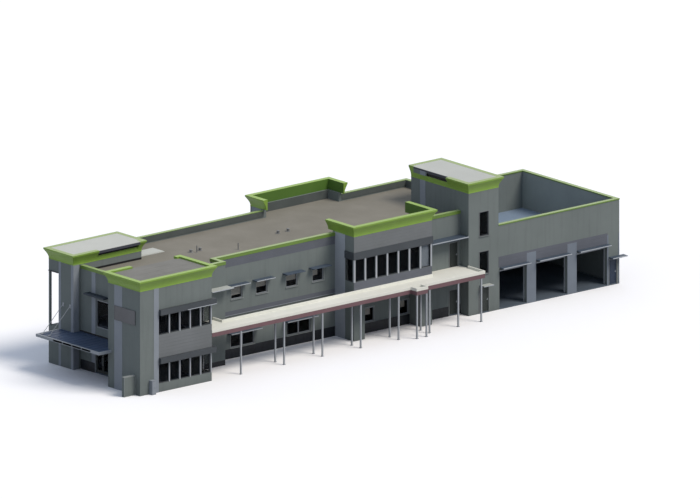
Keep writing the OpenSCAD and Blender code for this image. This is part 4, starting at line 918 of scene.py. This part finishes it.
# ---------------------------------------------------------------- blinds and post caps
# Roller blinds of woven cloth hang close behind the glass of the upper windows and of the
# recess, each drawn part of the way down with a bar in its hem. Flat caps hide the joints
# of the bay's posts.

PANE_THICK = 0.020
BLIND_GAP = 0.015
BLIND_IN = 0.010
BLIND_THICK, BLIND_EASE = 0.003, 0.001
HEM_HIGH, HEM_PROUD = 0.018, 0.008
SMALL_PANE, WIDE_PANE, BAY_PANE = 0.55, 0.9, 4.0
# How far a blind is drawn down and how much of its pane it covers. The front and the back
# window at the same place have the same one, and the list starts again after its last.
DROPS = ((0.72, 1.0), (0.50, 1.0), (0.52, 1.0), (0.55, 0.58))
RECESS_DROP = (0.50, 0.7)
END_BLIND_IN = 0.020
END_BLIND_THICK = 0.004
CAP_WIDE = 0.084
CAP_PROUD, CAP_EASE = 0.008, 0.002
WOVEN = dict(patch=0.4, grain=0.004, relief=0.0003, roughness=0.9)


def pane_width(pane):
    """The width of a pane along its wall."""
    return pane[3] - pane[2]


blind_cloth = coat("blind_cloth", "#dedbd0", "#e4e1d7", **WOVEN)
pale_cloth = coat("pale_blind_cloth", "#a8b3be", "#b3beca", **WOVEN)
upper_row = sorted([pane for pane in panes if SMALL_PANE < pane_width(pane) < WIDE_PANE
                    and pane[0] in ("front", "back") and pane[4] > storey_split],
                   key=lambda pane: pane[2])
recess_row = [pane for pane in panes if pane[0] == "front" and pane_width(pane) < SMALL_PANE
              and pane[5] < storey_split]
drops = [DROPS[i // 2 % len(DROPS)] for i in range(len(upper_row))]
drops += [RECESS_DROP] * len(recess_row)
blinds = []
for (side, at, a0, a1, z0, z1), (drop, share) in zip(upper_row + recess_row, drops):
    foot, far = z1 - drop * (z1 - z0), a0 + share * (a1 - a0) - BLIND_IN
    at -= (PANE_THICK + BLIND_GAP) * OUTWARD[side][1]
    blinds.append(board(side, at, a0 + BLIND_IN, far, foot, z1 - BLIND_IN, BLIND_THICK,
                        BLIND_EASE))
    blinds.append(board(side, at, a0 + BLIND_IN, far, foot - HEM_HIGH, foot, HEM_PROUD))
piece("roller_blinds", blinds, blind_cloth)

post_boxes = sorted(solid_boxes("bay_posts"), key=lambda box: box[0])
caps = []
for x0, x1, y0, y1, z0, z1 in post_boxes:
    side, at = ("front", y0) if y0 < main_y0 else ("back", y1)
    cap_x0 = min(max((x0 + x1 - CAP_WIDE) / 2, bay_x0), bay_x1 - CAP_WIDE)
    caps.append(board(side, at, cap_x0, cap_x0 + CAP_WIDE, z0, z1, CAP_PROUD, CAP_EASE))
piece("bay_post_caps", caps, post_paint)

# A pale blind is drawn right down over the bay's last pane, between two posts
bay_pane = [pane for pane in panes if pane[0] == "front" and pane_width(pane) > BAY_PANE][0]
_, at, _, a1, z0, z1 = bay_pane
front_posts = [box for box in post_boxes if box[2] < main_y0]
a0 = front_posts[-2][1] + END_BLIND_IN
piece("bay_end_blind", [
    board("front", at + PANE_THICK + BLIND_GAP, a0, a1 - END_BLIND_IN, z0 + BLIND_IN,
          z1 - BLIND_IN, END_BLIND_THICK, BLIND_EASE)], pale_cloth)

# ---------------------------------------------------------------- window headers
# Aluminium boxes that shade the long windows, folded from dark grey sheet and fixed to the
# wall over the posts. The upper one of the wing has a drip lip along the right part of its front
# and round its corner, painted bright as a highlight where light catches it, and the bay's
# header carries on round both returns, above its end panes.

LIP_HIGH = 0.030
LIP_PROUD = 0.012
LIT_LIP_FROM = 0.48
RETURN_LONG = 0.575
RETURN_PROUD = 0.040

header_metal = coat("dark_grey_sheet", "#3c4146", "#44494e",
                    patch=1.6, grain=0.03, relief=0.0006)
# Painted highlight: a bright paint for the lit lips and nosings
painted_highlight = coat("drip_lip_painted_highlight", "#a0a6ac", "#a9afb5",
                  relief=0.0003, roughness=0.4, metallic=0.2)
paint(header_metal, "glazing_headers")
headers = solid_boxes("glazing_headers")
# Painted highlight: only the right part of the wing's upper header lip is bright
lit_lips = []
for x0, x1, y0, y1, z0, z1 in headers:
    if x1 < bay_x0 and z0 > storey_split:
        lip_x0, lip_top = x0 + LIT_LIP_FROM * (x1 - x0), z0 + LIP_HIGH
        lit_lips.append(board("front", y0, lip_x0, x1, z0, lip_top, LIP_PROUD))
        lit_lips.append(board("right", x1, y0, y1, z0, lip_top, LIP_PROUD))
piece("header_lips", lit_lips, painted_highlight)
x0, x1, _, _, z0, z1 = [box for box in headers if box[0] > bay_x0][0]
# Each return is (side, face, from, to)
RETURNS = [
    ("left", bay_x0, bay_y0, bay_y0 + RETURN_LONG),
    ("right", bay_x1, bay_y0, bay_y0 + RETURN_LONG),
    ("front", bay_y0, bay_x0 - RETURN_PROUD, x0),
    ("front", bay_y0, x1, bay_x1 + RETURN_PROUD),
]
piece("bay_header_returns", [board(*row, z0, z1, RETURN_PROUD) for row in RETURNS],
      header_metal)

# ---------------------------------------------------------------- sunshades and awnings
# Thin folded aluminium shelves, cantilevered from the wall over doors and windows on two
# gusset brackets each, with a nosing along the outer edge. Their dark blue-grey is painted shade
# for tops in shade, and the nosing is a bright painted highlight, except on the upper ones of
# the main front, where it is as dark as the shelf. Three awnings are covered with a sheet: two
# pale ones of painted light and a dark one of painted shade.

# How far the six faces of nosings and sheets lie past those of their shelf. A nosing is
# measured from the head and from the front or left face, and a sheet on top from the head
FRONT_NOSING = (0, 0, -0.014, 0, -0.034, 0.004)
LEFT_NOSING = (-0.014, 0, 0, 0, -0.034, 0.004)
LIT_TOP_SHEET = (0.004, -0.004, 0.002, 0, -0.002, 0.004)
SHADE_COVER = (-0.016, 0, -0.002, 0.002, -0.012, 0.008)
AT_FRONT, AT_LEFT, ON_TOP = (0, 1, 2, 2, 5, 5), (0, 0, 2, 3, 5, 5), (0, 1, 2, 3, 5, 5)
SHADE_FROM = 3.5
FLUSH = 0.001
GUSSET_THICK = 0.012
GUSSET_HIGH = 0.110
GUSSET_IN = 0.12
GUSSET_SHARE = 0.75
GUSSET_TIP = 0.012
GUSSET_SUNK = 0.002


def gusset(x, wall_y, reach, z):
    """An upright bracket plate under a shelf at z: deep at the wall, shallow at its tip."""
    outline = [(0, GUSSET_SUNK), (0, -GUSSET_HIGH), (-reach, -GUSSET_TIP),
               (-reach, GUSSET_SUNK)]
    return shell(np.array([[(x + way * GUSSET_THICK / 2, wall_y + y, z + rise)
                            for y, rise in outline] for way in (-1, 1)]), False)


# Painted shade: the shelves' dark blue-grey is their look with tops in shade
sunshade_painted_shade = coat("sunshade_painted_shade_coating", "#434f5e", "#4c5867", patch=1.2, metallic=0.1)
paint(sunshade_painted_shade, "window_sunshades", "wall_awnings")
nosings, shaded_nosings, gussets = [], [], []
for shelf in solid_boxes("window_sunshades") + solid_boxes("wall_awnings"):
    x0, x1, y0, y1, z0, _ = shelf
    if x1 - x0 > y1 - y0:
        # The upper shelves of the main front keep their nosing in the painted shade; the others
        # get the bright painted highlight
        in_shade = (z0 > storey_split and y1 < main_y0 + FLUSH
                   and main_x0 + SHADE_FROM < x0 and x1 < bay_x0)
        row = shaded_nosings if in_shade else nosings
        row.append(shifted(shelf, FRONT_NOSING, AT_FRONT))
        gussets += [gusset(x, y1, (y1 - y0) * GUSSET_SHARE, z0)
                    for x in (x0 + GUSSET_IN, x1 - GUSSET_IN)]
    else:
        nosings.append(shifted(shelf, LEFT_NOSING, AT_LEFT))
piece("lit_awning_nosings", nosings, painted_highlight)
piece("shaded_nosings", shaded_nosings, sunshade_painted_shade)
piece("awning_gussets", gussets, satin_aluminium)

# Painted light: pale sheets on two of the shelves stand for tops in light. Painted shade: a
# dark sheet on the one over the tall window of the entrance side stands for a top in shade
shelves = sorted(solid_boxes("wall_awnings"), key=lambda box: box[0])
lit_shelf_top = coat("painted_light_shelf_top", "#a9ada9", "#b3b7b3", patch=0.9)
piece("painted_light_shelf_tops", [shifted(shelves[i], LIT_TOP_SHEET, ON_TOP) for i in (1, 3)],
      lit_shelf_top)
painted_shade_sheet = coat("shelf_top_painted_shade", "#1d2733", "#24303d", patch=0.9, roughness=0.6)
piece("shelf_top_painted_shade", [shifted(shelves[0], SHADE_COVER)], painted_shade_sheet)

# ---------------------------------------------------------------- walkway canopy
# A white membrane roof inside a kerb with a folded capping, over a deep beam of red-brown
# steel that the slender columns carry. The columns stand on base plates and end in a cap.
# On the wall behind the roof a dark grey board is painted shade, standing for the wall in the
# canopy's shade, with a pale ledge on top.

LEDGE_FOOT = 1.862
CANOPY_SHADE_PROUD = 0.008
LEDGE_PROUD = 0.014
EDGE_HIGH = 0.030
EDGE_EASE = 0.004
MEMBRANE_EASE = 0.006
KERB_EASE = 0.005
BEAM_IN = 0.012
BEAM_EASE = 0.002
# Where the faces of a plate lie: left, right, front and back from the column's middle, and
# foot and head from the end of the column that it is on
BASE_PLATE = (-0.052, 0.052, -0.044, 0.052, 0, 0.014)
CAP_PLATE = (-0.045, 0.045, -0.040, 0.045, -0.012, 0)
BOLT = (-0.008, 0.008, -0.008, 0.008, 0.013, 0.026)
BOLTS_X, BOLTS_Y = (-0.041, 0.041), (-0.034, 0.041)

canopy_foot, canopy_top = span("walkway_canopy")[4:]
left, step, porch_left, porch_right, bay_right, right = levels("walkway_canopy", 0)
porch_front, front, bay_back, back = levels("walkway_canopy", 1)
CANOPY_OUTLINE = [
    (left, front), (porch_left, front), (porch_left, porch_front), (porch_right, porch_front),
    (porch_right, front), (right, front), (right, back), (bay_right, back),
    (bay_right, bay_back), (step, bay_back), (step, back), (left, back)]


def slab(outline, steps):
    """A plate with a shaped edge. Each step is (how far the outline is drawn in along its
    mitres, height)."""
    outline = np.array([(x, y, 0.0) for x, y in outline])
    inward = mitres(outline, UP, True)
    return shell(np.array([outline + inset * inward + z * UP for inset, z in steps]), False)


def plate(x, y, z, past, ease=BLOCK_EASE):
    """A block whose six faces lie past one point."""
    return shifted((x, x, y, y, z, z), past, ease=ease)


# Painted shade: the dark grey board on the main front below the ledge
piece("wall_shade_behind_canopy", [
    board("front", main_y0, main_x0, bay_x0, LOW_BAND, LEDGE_FOOT, CANOPY_SHADE_PROUD)],
    flashing_and_shade_grey)
piece("canopy_ledge", [
    board("front", main_y0, main_x0, bay_x0, LEDGE_FOOT, CANOPY_LEDGE, LEDGE_PROUD)],
    pilaster_render)
canopy_white = coat("white_roof_membrane", "#d9dad1", "#e3e3db",
                    patch=1.8, grain=0.03, relief=0.0008, roughness=0.7)
edge_foot = canopy_top - EDGE_HIGH
canopy_roof = piece("canopy_roof_slab", [slab(CANOPY_OUTLINE, [
    (EDGE_EASE, edge_foot), (0, edge_foot + EDGE_EASE), (0, canopy_top - MEMBRANE_EASE),
    (MEMBRANE_EASE, canopy_top)])], canopy_white)
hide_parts("walkway_canopy")
kerb_cappings = piece("canopy_kerb_cappings", [
    block(*box, KERB_EASE) for box in solid_boxes("canopy_kerbs")],
    canopy_white)
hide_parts("canopy_kerbs")
beam_red = coat("red_brown_beam_paint", "#6a5156", "#74585d",
                patch=1.3, grain=0.03, relief=0.0006, roughness=0.6)
piece("canopy_beam", [slab(CANOPY_OUTLINE, [
    (BEAM_IN + EDGE_EASE, canopy_foot), (BEAM_IN, canopy_foot + EDGE_EASE),
    (BEAM_IN, edge_foot - BEAM_EASE), (BEAM_IN + BEAM_EASE, edge_foot)])],
    beam_red)

column_plates = []
for x0, x1, y0, y1, _, _ in solid_boxes("canopy_columns"):
    x, y = (x0 + x1) / 2, (y0 + y1) / 2
    column_plates += [plate(x, y, 0.0, BASE_PLATE), plate(x, y, canopy_foot, CAP_PLATE)]
    column_plates += [plate(x + dx, y + dy, 0.0, BOLT) for dx in BOLTS_X for dy in BOLTS_Y]
piece("column_plates", column_plates, satin_aluminium)

# ---------------------------------------------------------------- loggia trim
# The open corner of the tower has a beam over its post. A thin dark angle of coated steel
# is screwed along the beam's lower edge, so that rain drips clear of the soffit.

ANGLE_BELOW, ANGLE_ABOVE = 0.012, 0.018
ANGLE_PROUD = 0.045

loggia_x0, _, loggia_y0, loggia_y1 = span("corner_tower_loggia")[:4]
loggia_head = levels("corner_tower_loggia", 2)[-2]
piece("loggia_trim", [
    board("left", loggia_x0, loggia_y0, loggia_y1, loggia_head - ANGLE_BELOW,
          loggia_head + ANGLE_ABOVE, ANGLE_PROUD)], frame_dark)

# ---------------------------------------------------------------- entrance awning
# A deck of sheet hung from the wall by two steel rods, inside a light box rim with a row of
# dark slots in its left edge, and flashed against the wall. The deck's dark blue is painted
# shade for its top lying in shade.

RIM_BACK = 0.075
RIM_EASE = 0.004
DECK_RAISED = 0.012
DECK_SUNK = 0.014
DECK_RIB_HALF, DECK_RIB_SLOPE, DECK_RIB_HIGH = 0.012, 0.003, 0.010
DECK_RIBS_FROM, DECK_RIBS_SHORT, DECK_RIB_PITCH = 0.30, 0.20, 0.32
SLOTS_FROM, SLOTS_TO, SLOTS = 0.13, 0.73, 4
# How far the six faces of a slot lie past its part of the edge, those of the flashing past
# the awning's top at the wall, and those of the rods' end plates past the rod's two ends
EDGE_SLOT, SLOT_EASE = (0, 0.020, 0.020, -0.020, 0.022, 0), 0.002
WALL_FLASHING = (-0.030, 0, 0.010, -0.010, -0.004, 0.040)
ROD_FOOT = (-0.05, 0.07, -0.035, 0.035, -0.002, 0.016)
ROD_HEAD = (-0.014, 0, -0.05, 0.05, -0.12, 0.04)

ax0, ax1, ay0, ay1, awning_foot, awning_top = span("entrance_awning")
deck_x0, deck_y0, deck_y1 = ax0 + RIM_BACK, ay0 + RIM_BACK, ay1 - RIM_BACK
deck_top, rim_high = awning_top - DECK_SUNK, awning_top - awning_foot
# Painted shade: the deck's dark blue stands for its top in shade
awning_painted_shade = coat("awning_deck_painted_shade", "#374660", "#3f4f69",
                   patch=1.2, grain=0.03, roughness=0.45)
rim_sheet = coat("pale_rim_sheet", "#8d949b", "#979ea5", patch=1.2)
deck_plate = slab([(deck_x0, deck_y0), (ax1, deck_y0), (ax1, deck_y1), (deck_x0, deck_y1)],
                  [(0.0, awning_foot + DECK_RAISED), (0.0, deck_top)])
rib_crest = DECK_RIB_HALF - DECK_RIB_SLOPE
rib_section = [(-DECK_RIB_HALF, 0), (-rib_crest, DECK_RIB_HIGH), (rib_crest, DECK_RIB_HIGH),
               (DECK_RIB_HALF, 0)]
ribs = np.arange(ay0 + DECK_RIBS_FROM, ay1 - DECK_RIBS_SHORT, DECK_RIB_PITCH)
deck = piece("awning_deck", [deck_plate] + [
    moulding(rib_section, [(deck_x0, y, deck_top), (ax1, y, deck_top)], UP) for y in ribs],
    awning_painted_shade)
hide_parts("entrance_awning")
rim_flat = RIM_BACK - RIM_EASE
rim_section = [(0, 0), (RIM_EASE, RIM_EASE), (RIM_EASE, rim_high - RIM_EASE), (0, rim_high),
               (-rim_flat, rim_high), (-RIM_BACK, rim_high - RIM_EASE), (-RIM_BACK, RIM_EASE),
               (-rim_flat, 0)]
rim_x0, rim_y0, rim_y1 = ax0 + RIM_EASE, ay0 + RIM_EASE, ay1 - RIM_EASE
rim_path = [(ax1, rim_y0), (rim_x0, rim_y0), (rim_x0, rim_y1), (ax1, rim_y1)]
piece("awning_rim", [moulding(rim_section, [(x, y, awning_foot) for x, y in rim_path], UP)],
      rim_sheet)
slot_ys = ay0 + (ay1 - ay0) * np.linspace(SLOTS_FROM, SLOTS_TO, SLOTS + 1)
piece("awning_edge_joint", [
    shifted((ax0, ax0, y0, y1, awning_foot, deck_top), EDGE_SLOT, ease=SLOT_EASE)
    for y0, y1 in zip(slot_ys, slot_ys[1:])] + [
    shifted((ax1, ax1, ay0, ay1, awning_top, awning_top), WALL_FLASHING)],
    louvre_metal)
rod_plates = []
for x0, x1, y0, y1, _, z1 in solid_boxes("awning_hangers"):
    y = (y0 + y1) / 2
    rod_plates += [plate(x0, y, awning_top, ROD_FOOT), plate(x1, y, z1, ROD_HEAD)]
piece("hanger_end_plates", rod_plates, satin_aluminium)

# ---------------------------------------------------------------- doors
# Steel leaves with pressed panels in rendered surrounds, and a pair of glazed aluminium
# leaves at the entrance. The handles and mouldings are fixed to the leaf that they move with.

SURROUND_WIDE = 0.045
SURROUND_PROUD = 0.012
LEAF_GAP = 0.007
HANDLE_THICK = 0.007
ROSE, ROSE_EASE = (-0.016, 0.016, -0.006, 0, -0.045, 0.045), 0.002
GRIP_OUT, GRIP_LONG = 0.034, 0.075
HANDLE_IN, HANDLE_OVER = 0.034, 0.020
PANEL_IN = 0.065
PANEL_BEAD, PANEL_PROUD = 0.028, 0.008
RAIL_SHARE = 0.47
FOOT_RAIL, HEAD_RAIL = 0.09, 0.07
RAIL_BELOW, RAIL_ABOVE = 0.03, 0.05
PULL_IN = 0.030
PULL_OUT = 0.032
PULL_FOOT, PULL_HEAD = 0.42, 0.72
ROD_SIDES = 12


def surround(side, at, a0, a1, z0, z1):
    """The three-sided trim round a door opening: up one side, over the head and down."""
    h = SURROUND_WIDE / 2
    path = [(a0 - h, z0), (a0 - h, z1 + h), (a1 + h, z1 + h), (a1 + h, z0)]
    return moulding(bar(SURROUND_WIDE, SURROUND_PROUD),
                    [on_wall(side, at, a, z) for a, z in path], OUTWARD[side])


def rod(path, radius, normal):
    """A round bar bent along a path that lies square to the normal."""
    turn = np.linspace(0, 2 * np.pi, ROD_SIDES, endpoint=False)
    return moulding(np.column_stack([np.cos(turn), np.sin(turn)]) * radius, path, normal)


def lever(x, face, z):
    """A lever handle on a leaf that looks to the front: a rose, and a grip on a neck that
    points to the left."""
    grip_y = face - GRIP_OUT
    return [plate(x, face, z, ROSE, ROSE_EASE),
            rod([(x, face, z), (x, grip_y, z), (x - GRIP_LONG, grip_y, z)], HANDLE_THICK, UP)]


leaf_grey = coat("dark_green_grey_door_paint", "#2b302f", "#333937", roughness=0.45)
leaf_blue = coat("dark_blue_door_paint", "#243043", "#2b384c", roughness=0.45)
paint(leaf_grey, "link_door", "link_upper_door", "stair_tower_door", "entrance_door_near",
      "entrance_door_far")
paint(leaf_blue, "garage_side_door")
link_head, _, upper_head, *_ = levels("right_link_wall_over_doors", 2)
stair_door_x0, stair_door_x1, _, _, stair_head, _ = span("stair_tower_front_middle")
side_x0, side_x1, _, _, _, side_z1 = span("garage_side_door")
entry_head = span("entrance_wall_over_door")[4]
piece("door_surrounds", [
    surround("front", link_y, door_x0, door_x1, 0.0, link_head),
    surround("front", link_y, door_x0, door_x1, floor_top, upper_head),
    surround("front", stair_y0, stair_door_x0, stair_door_x1, 0.0, stair_head),
    surround("front", garage_y0, side_x0 - LEAF_GAP, side_x1 + LEAF_GAP, 0.0,
             side_z1 + LEAF_GAP),
    surround("left", entry_x0, entry_door_y0, entry_door_y1, 0.0, entry_head),
], window_trim)

for leaf, leaf_paint, body in (
        ("link_door", leaf_grey, "link_leaf"),
        ("stair_tower_door", leaf_grey, "stair_leaf"),
        ("garage_side_door", leaf_blue, "garage_leaf"),
        ("link_upper_door", leaf_grey, "building")):
    x0, x1, y0, _, z0, z1 = span(leaf)
    rail = z0 + RAIL_SHARE * (z1 - z0)
    piece(leaf + "_panels", [
        casing("front", y0, x0 + PANEL_IN, x1 - PANEL_IN, foot, head, PANEL_BEAD, PANEL_PROUD)
        for foot, head in ((z0 + FOOT_RAIL, rail - RAIL_BELOW),
                           (rail + RAIL_ABOVE, z1 - HEAD_RAIL))],
        leaf_paint, body)
    piece(leaf + "_handle", lever(x1 - HANDLE_IN, y0, rail + HANDLE_OVER), satin_aluminium,
          body)

for end in ("near", "far"):
    x0, _, y0, y1, _, _ = span("entrance_door_" + end)
    y = y1 - PULL_IN if end == "near" else y0 + PULL_IN
    bend = [(x0, PULL_FOOT), (x0 - PULL_OUT, PULL_FOOT), (x0 - PULL_OUT, PULL_HEAD),
            (x0, PULL_HEAD)]
    piece("entrance_pull_" + end, [rod([(x, y, z) for x, z in bend], HANDLE_THICK, (0, 1, 0))],
          satin_aluminium, "entrance_leaf_" + end)

# ---------------------------------------------------------------- garage
# Three vehicle bays between light rendered piers. Each has a roller shutter wound up into a
# sheet housing behind its lintel, and steel guides down both jambs.

FACING_HIGH = 2.200
FACING_PROUD = 0.010
CORNER_FACING = 0.050
DOOR_FACING = 0.055
LIGHT_BOARD_THICK = 0.006
# Where the shutters' faces lie: left and right from the jambs, front and back from the back
# of the piers, foot and head from the ground
HOUSING, HOUSING_EASE = (-0.060, 0.060, 0, 0.190, 1.640, 1.800), 0.006
CURTAIN = (0.020, -0.020, 0.050, 0.075, 1.580, 1.650)
LEFT_GUIDE = (0, 0.030, 0, 0.050, 0.050, 1.645)
RIGHT_GUIDE = (-0.030, 0, 0, 0.050, 0.050, 1.645)

pier_light = coat("pier_render_light", "#6d7580", "#77808b",
                  patch=1.2, grain=0.03, relief=0.0010, roughness=0.75)
paint(wall_render, "garage_piers")
piers = sorted(solid_boxes("garage_piers"), key=lambda box: box[0])
facings = [(x0, x1) for x0, x1, *_ in piers[1:3]] + [
    (piers[3][0], side_x0 - DOOR_FACING), (garage_x1 - CORNER_FACING, garage_x1)]
piece("garage_pier_facings", [
    board("front", garage_y0, x0, x1, 0.0, FACING_HIGH, FACING_PROUD) for x0, x1 in facings],
    pier_light)

back_of_piers = piers[0][3]
guides, housings, curtains = [], [], []
for before, after in zip(piers[:-2], piers[1:-1]):
    x0, x1 = before[1], after[0]
    bay = (x0, x1, back_of_piers, back_of_piers, 0, 0)
    housings.append(shifted(bay, HOUSING, ease=HOUSING_EASE))
    curtains.append(shifted(bay, CURTAIN))
    guides += [plate(x0, back_of_piers, 0, LEFT_GUIDE), plate(x1, back_of_piers, 0, RIGHT_GUIDE)]
piece("shutter_housings", housings, header_metal)
piece("shutter_curtains", curtains, satin_aluminium)
piece("shutter_guides", guides, satin_aluminium)

# Painted light: a paler board on the inside of the screen's far wall above the deck, lighter to
# stand for light falling on it
screen_painted_light = coat("screen_board_painted_light", "#858d8b", "#8f9795",
                     patch=1.2, grain=0.03, relief=0.0008, roughness=0.75)
piece("screen_painted_light", [board(
    "left", garage_x1 - WALL_THICK, garage_y0 + WALL_THICK, garage_y1 - WALL_THICK,
    span("garage_deck")[5], span("screen_coping")[4], LIGHT_BOARD_THICK)],
    screen_painted_light)

# ---------------------------------------------------------------- small fittings
# What is fixed to the building last: a bare sign plate on spacers, a vent louvre, the doors
# of the service cabinets, and the caps of the roof vents and pipes.

SIGN_Y, SIGN_Z = (0.305, 1.630), (3.030, 3.625)
SIGN_OUT, SIGN_PROUD = 0.020, 0.010
SIGN_RIM, SIGN_RIM_WIDE, SIGN_RIM_PROUD = 0.015, 0.030, 0.016
SPACER_IN_Y, SPACER_IN_Z, SPACER_SUNK, SPACER_THICK = 0.10, 0.08, 0.004, 0.012
VENT_FROM, VENT_WIDE, VENT_Z = 0.220, 0.260, (3.900, 4.080)
VENT_RIM, VENT_RIM_WIDE, VENT_RIM_PROUD = 0.020, 0.022, 0.026
EDGING_WIDE, EDGING_PROUD = 0.022, 0.006
DOOR_IN, DOOR_FOOT, DOOR_HEAD, DOOR_PROUD = 0.02, 0.06, 0.04, 0.008
LATCH_IN, LATCH_SHARE = 0.06, 0.55
# How far the edging and the lid stand past the sides and the top of the two cabinets
TOP_EDGING = (-0.006, 0, -0.006, 0.006, -0.004, 0.012)
CABINET_LID = (-0.008, 0.008, -0.014, 0, -0.001, 0.016)
VENT_SIDES = 24
# Half sections of a vent's cowl and collar: each point is (share of the pipe's radius,
# height over the pipe's top or foot)
COWL = [(0.6, -0.004), (0.6, 0.012), (1.25, 0.012), (1.25, 0.020), (0.8, 0.036), (0.1, 0.046)]
COLLAR = [(1.7, 0.0), (1.7, 0.006), (1.05, 0.016), (1.05, 0.030)]


def turned(centre, pairs):
    """A form turned about an upright axis. Each pair is (radius, height above the centre)."""
    turn = np.linspace(0, 2 * np.pi, VENT_SIDES, endpoint=False)
    rings = [np.column_stack([r * np.cos(turn), r * np.sin(turn), np.full(VENT_SIDES, z)])
             for r, z in pairs]
    return shell(np.array(rings) + np.array(centre), False)


plate_metal = coat("grey_sign_plate", "#54565a", "#5c5e62",
                   patch=0.9, relief=0.0003, roughness=0.4, metallic=0.2)
sign_y0, sign_y1 = wing_y0 + SIGN_Y[0], wing_y0 + SIGN_Y[1]
sign_z0, sign_z1 = SIGN_Z
sign_x = wing_x0 - SIGN_OUT
piece("sign_plate", [
    board("left", sign_x, sign_y0, sign_y1, sign_z0, sign_z1, SIGN_PROUD),
    casing("left", sign_x, sign_y0 - SIGN_RIM, sign_y1 + SIGN_RIM, sign_z0 - SIGN_RIM,
           sign_z1 + SIGN_RIM, SIGN_RIM_WIDE, SIGN_RIM_PROUD),
] + [rod([(wing_x0, y, z), (sign_x - SPACER_SUNK, y, z)], SPACER_THICK, UP)
     for y in (sign_y0 + SPACER_IN_Y, sign_y1 - SPACER_IN_Y)
     for z in (sign_z0 + SPACER_IN_Z, sign_z1 - SPACER_IN_Z)], plate_metal)
vent_x0, vent_x1 = wing_x1 + VENT_FROM, wing_x1 + VENT_FROM + VENT_WIDE
piece("link_wall_louvre", louvre("front", link_y, vent_x0, vent_x1, *VENT_Z) + [
    casing("front", link_y, vent_x0 - VENT_RIM, vent_x1 + VENT_RIM, VENT_Z[0] - VENT_RIM,
           VENT_Z[1] + VENT_RIM, VENT_RIM_WIDE, VENT_RIM_PROUD)], louvre_metal)

screen_box, cabinet_box = sorted(solid_boxes("service_cabinets"), key=lambda box: box[0])
screen_panel = piece("screen_panel", [block(*screen_box)], wall_render)
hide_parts("service_cabinets")
x0, x1, y0, _, z0, z1 = screen_box
piece("screen_edging", [
    casing("front", y0, x0, x1, z0, z1, EDGING_WIDE, EDGING_PROUD),
    shifted(screen_box, TOP_EDGING, ON_TOP)], pale_trim)
cabinet_paint = coat("pale_cabinet_paint", "#848b93", "#8e959d", patch=0.8)
cabinet_body = piece("cabinet_body", [block(*cabinet_box)], cabinet_paint)
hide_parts("service_cabinets")
x0, x1, y0, _, z0, z1 = cabinet_box
piece("cabinet_doors", [
    board("front", y0, x0 + DOOR_IN, x1 - DOOR_IN, z0 + DOOR_FOOT, z1 - DOOR_HEAD, DOOR_PROUD),
    shifted(cabinet_box, CABINET_LID, ON_TOP),
    *lever(x1 - LATCH_IN, y0 - DOOR_PROUD, z0 + LATCH_SHARE * (z1 - z0)),
], cabinet_paint)

vent_metal = coat("weathered_zinc", "#6f7173", "#7d7f80",
                  patch=0.5, grain=0.012, roughness=0.6, metallic=0.2)
paint(vent_metal, "roof_vents")
vent_caps = []
for x0, x1, y0, y1, z0, z1 in solid_boxes("roof_vents"):
    x, y, radius = (x0 + x1) / 2, (y0 + y1) / 2, (x1 - x0) / 2
    for z, section in ((z1, COWL), (z0, COLLAR)):
        vent_caps.append(turned((x, y, z), [(share * radius, rise) for share, rise in section]))
piece("roof_vent_caps", vent_caps, vent_metal)

low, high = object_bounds()
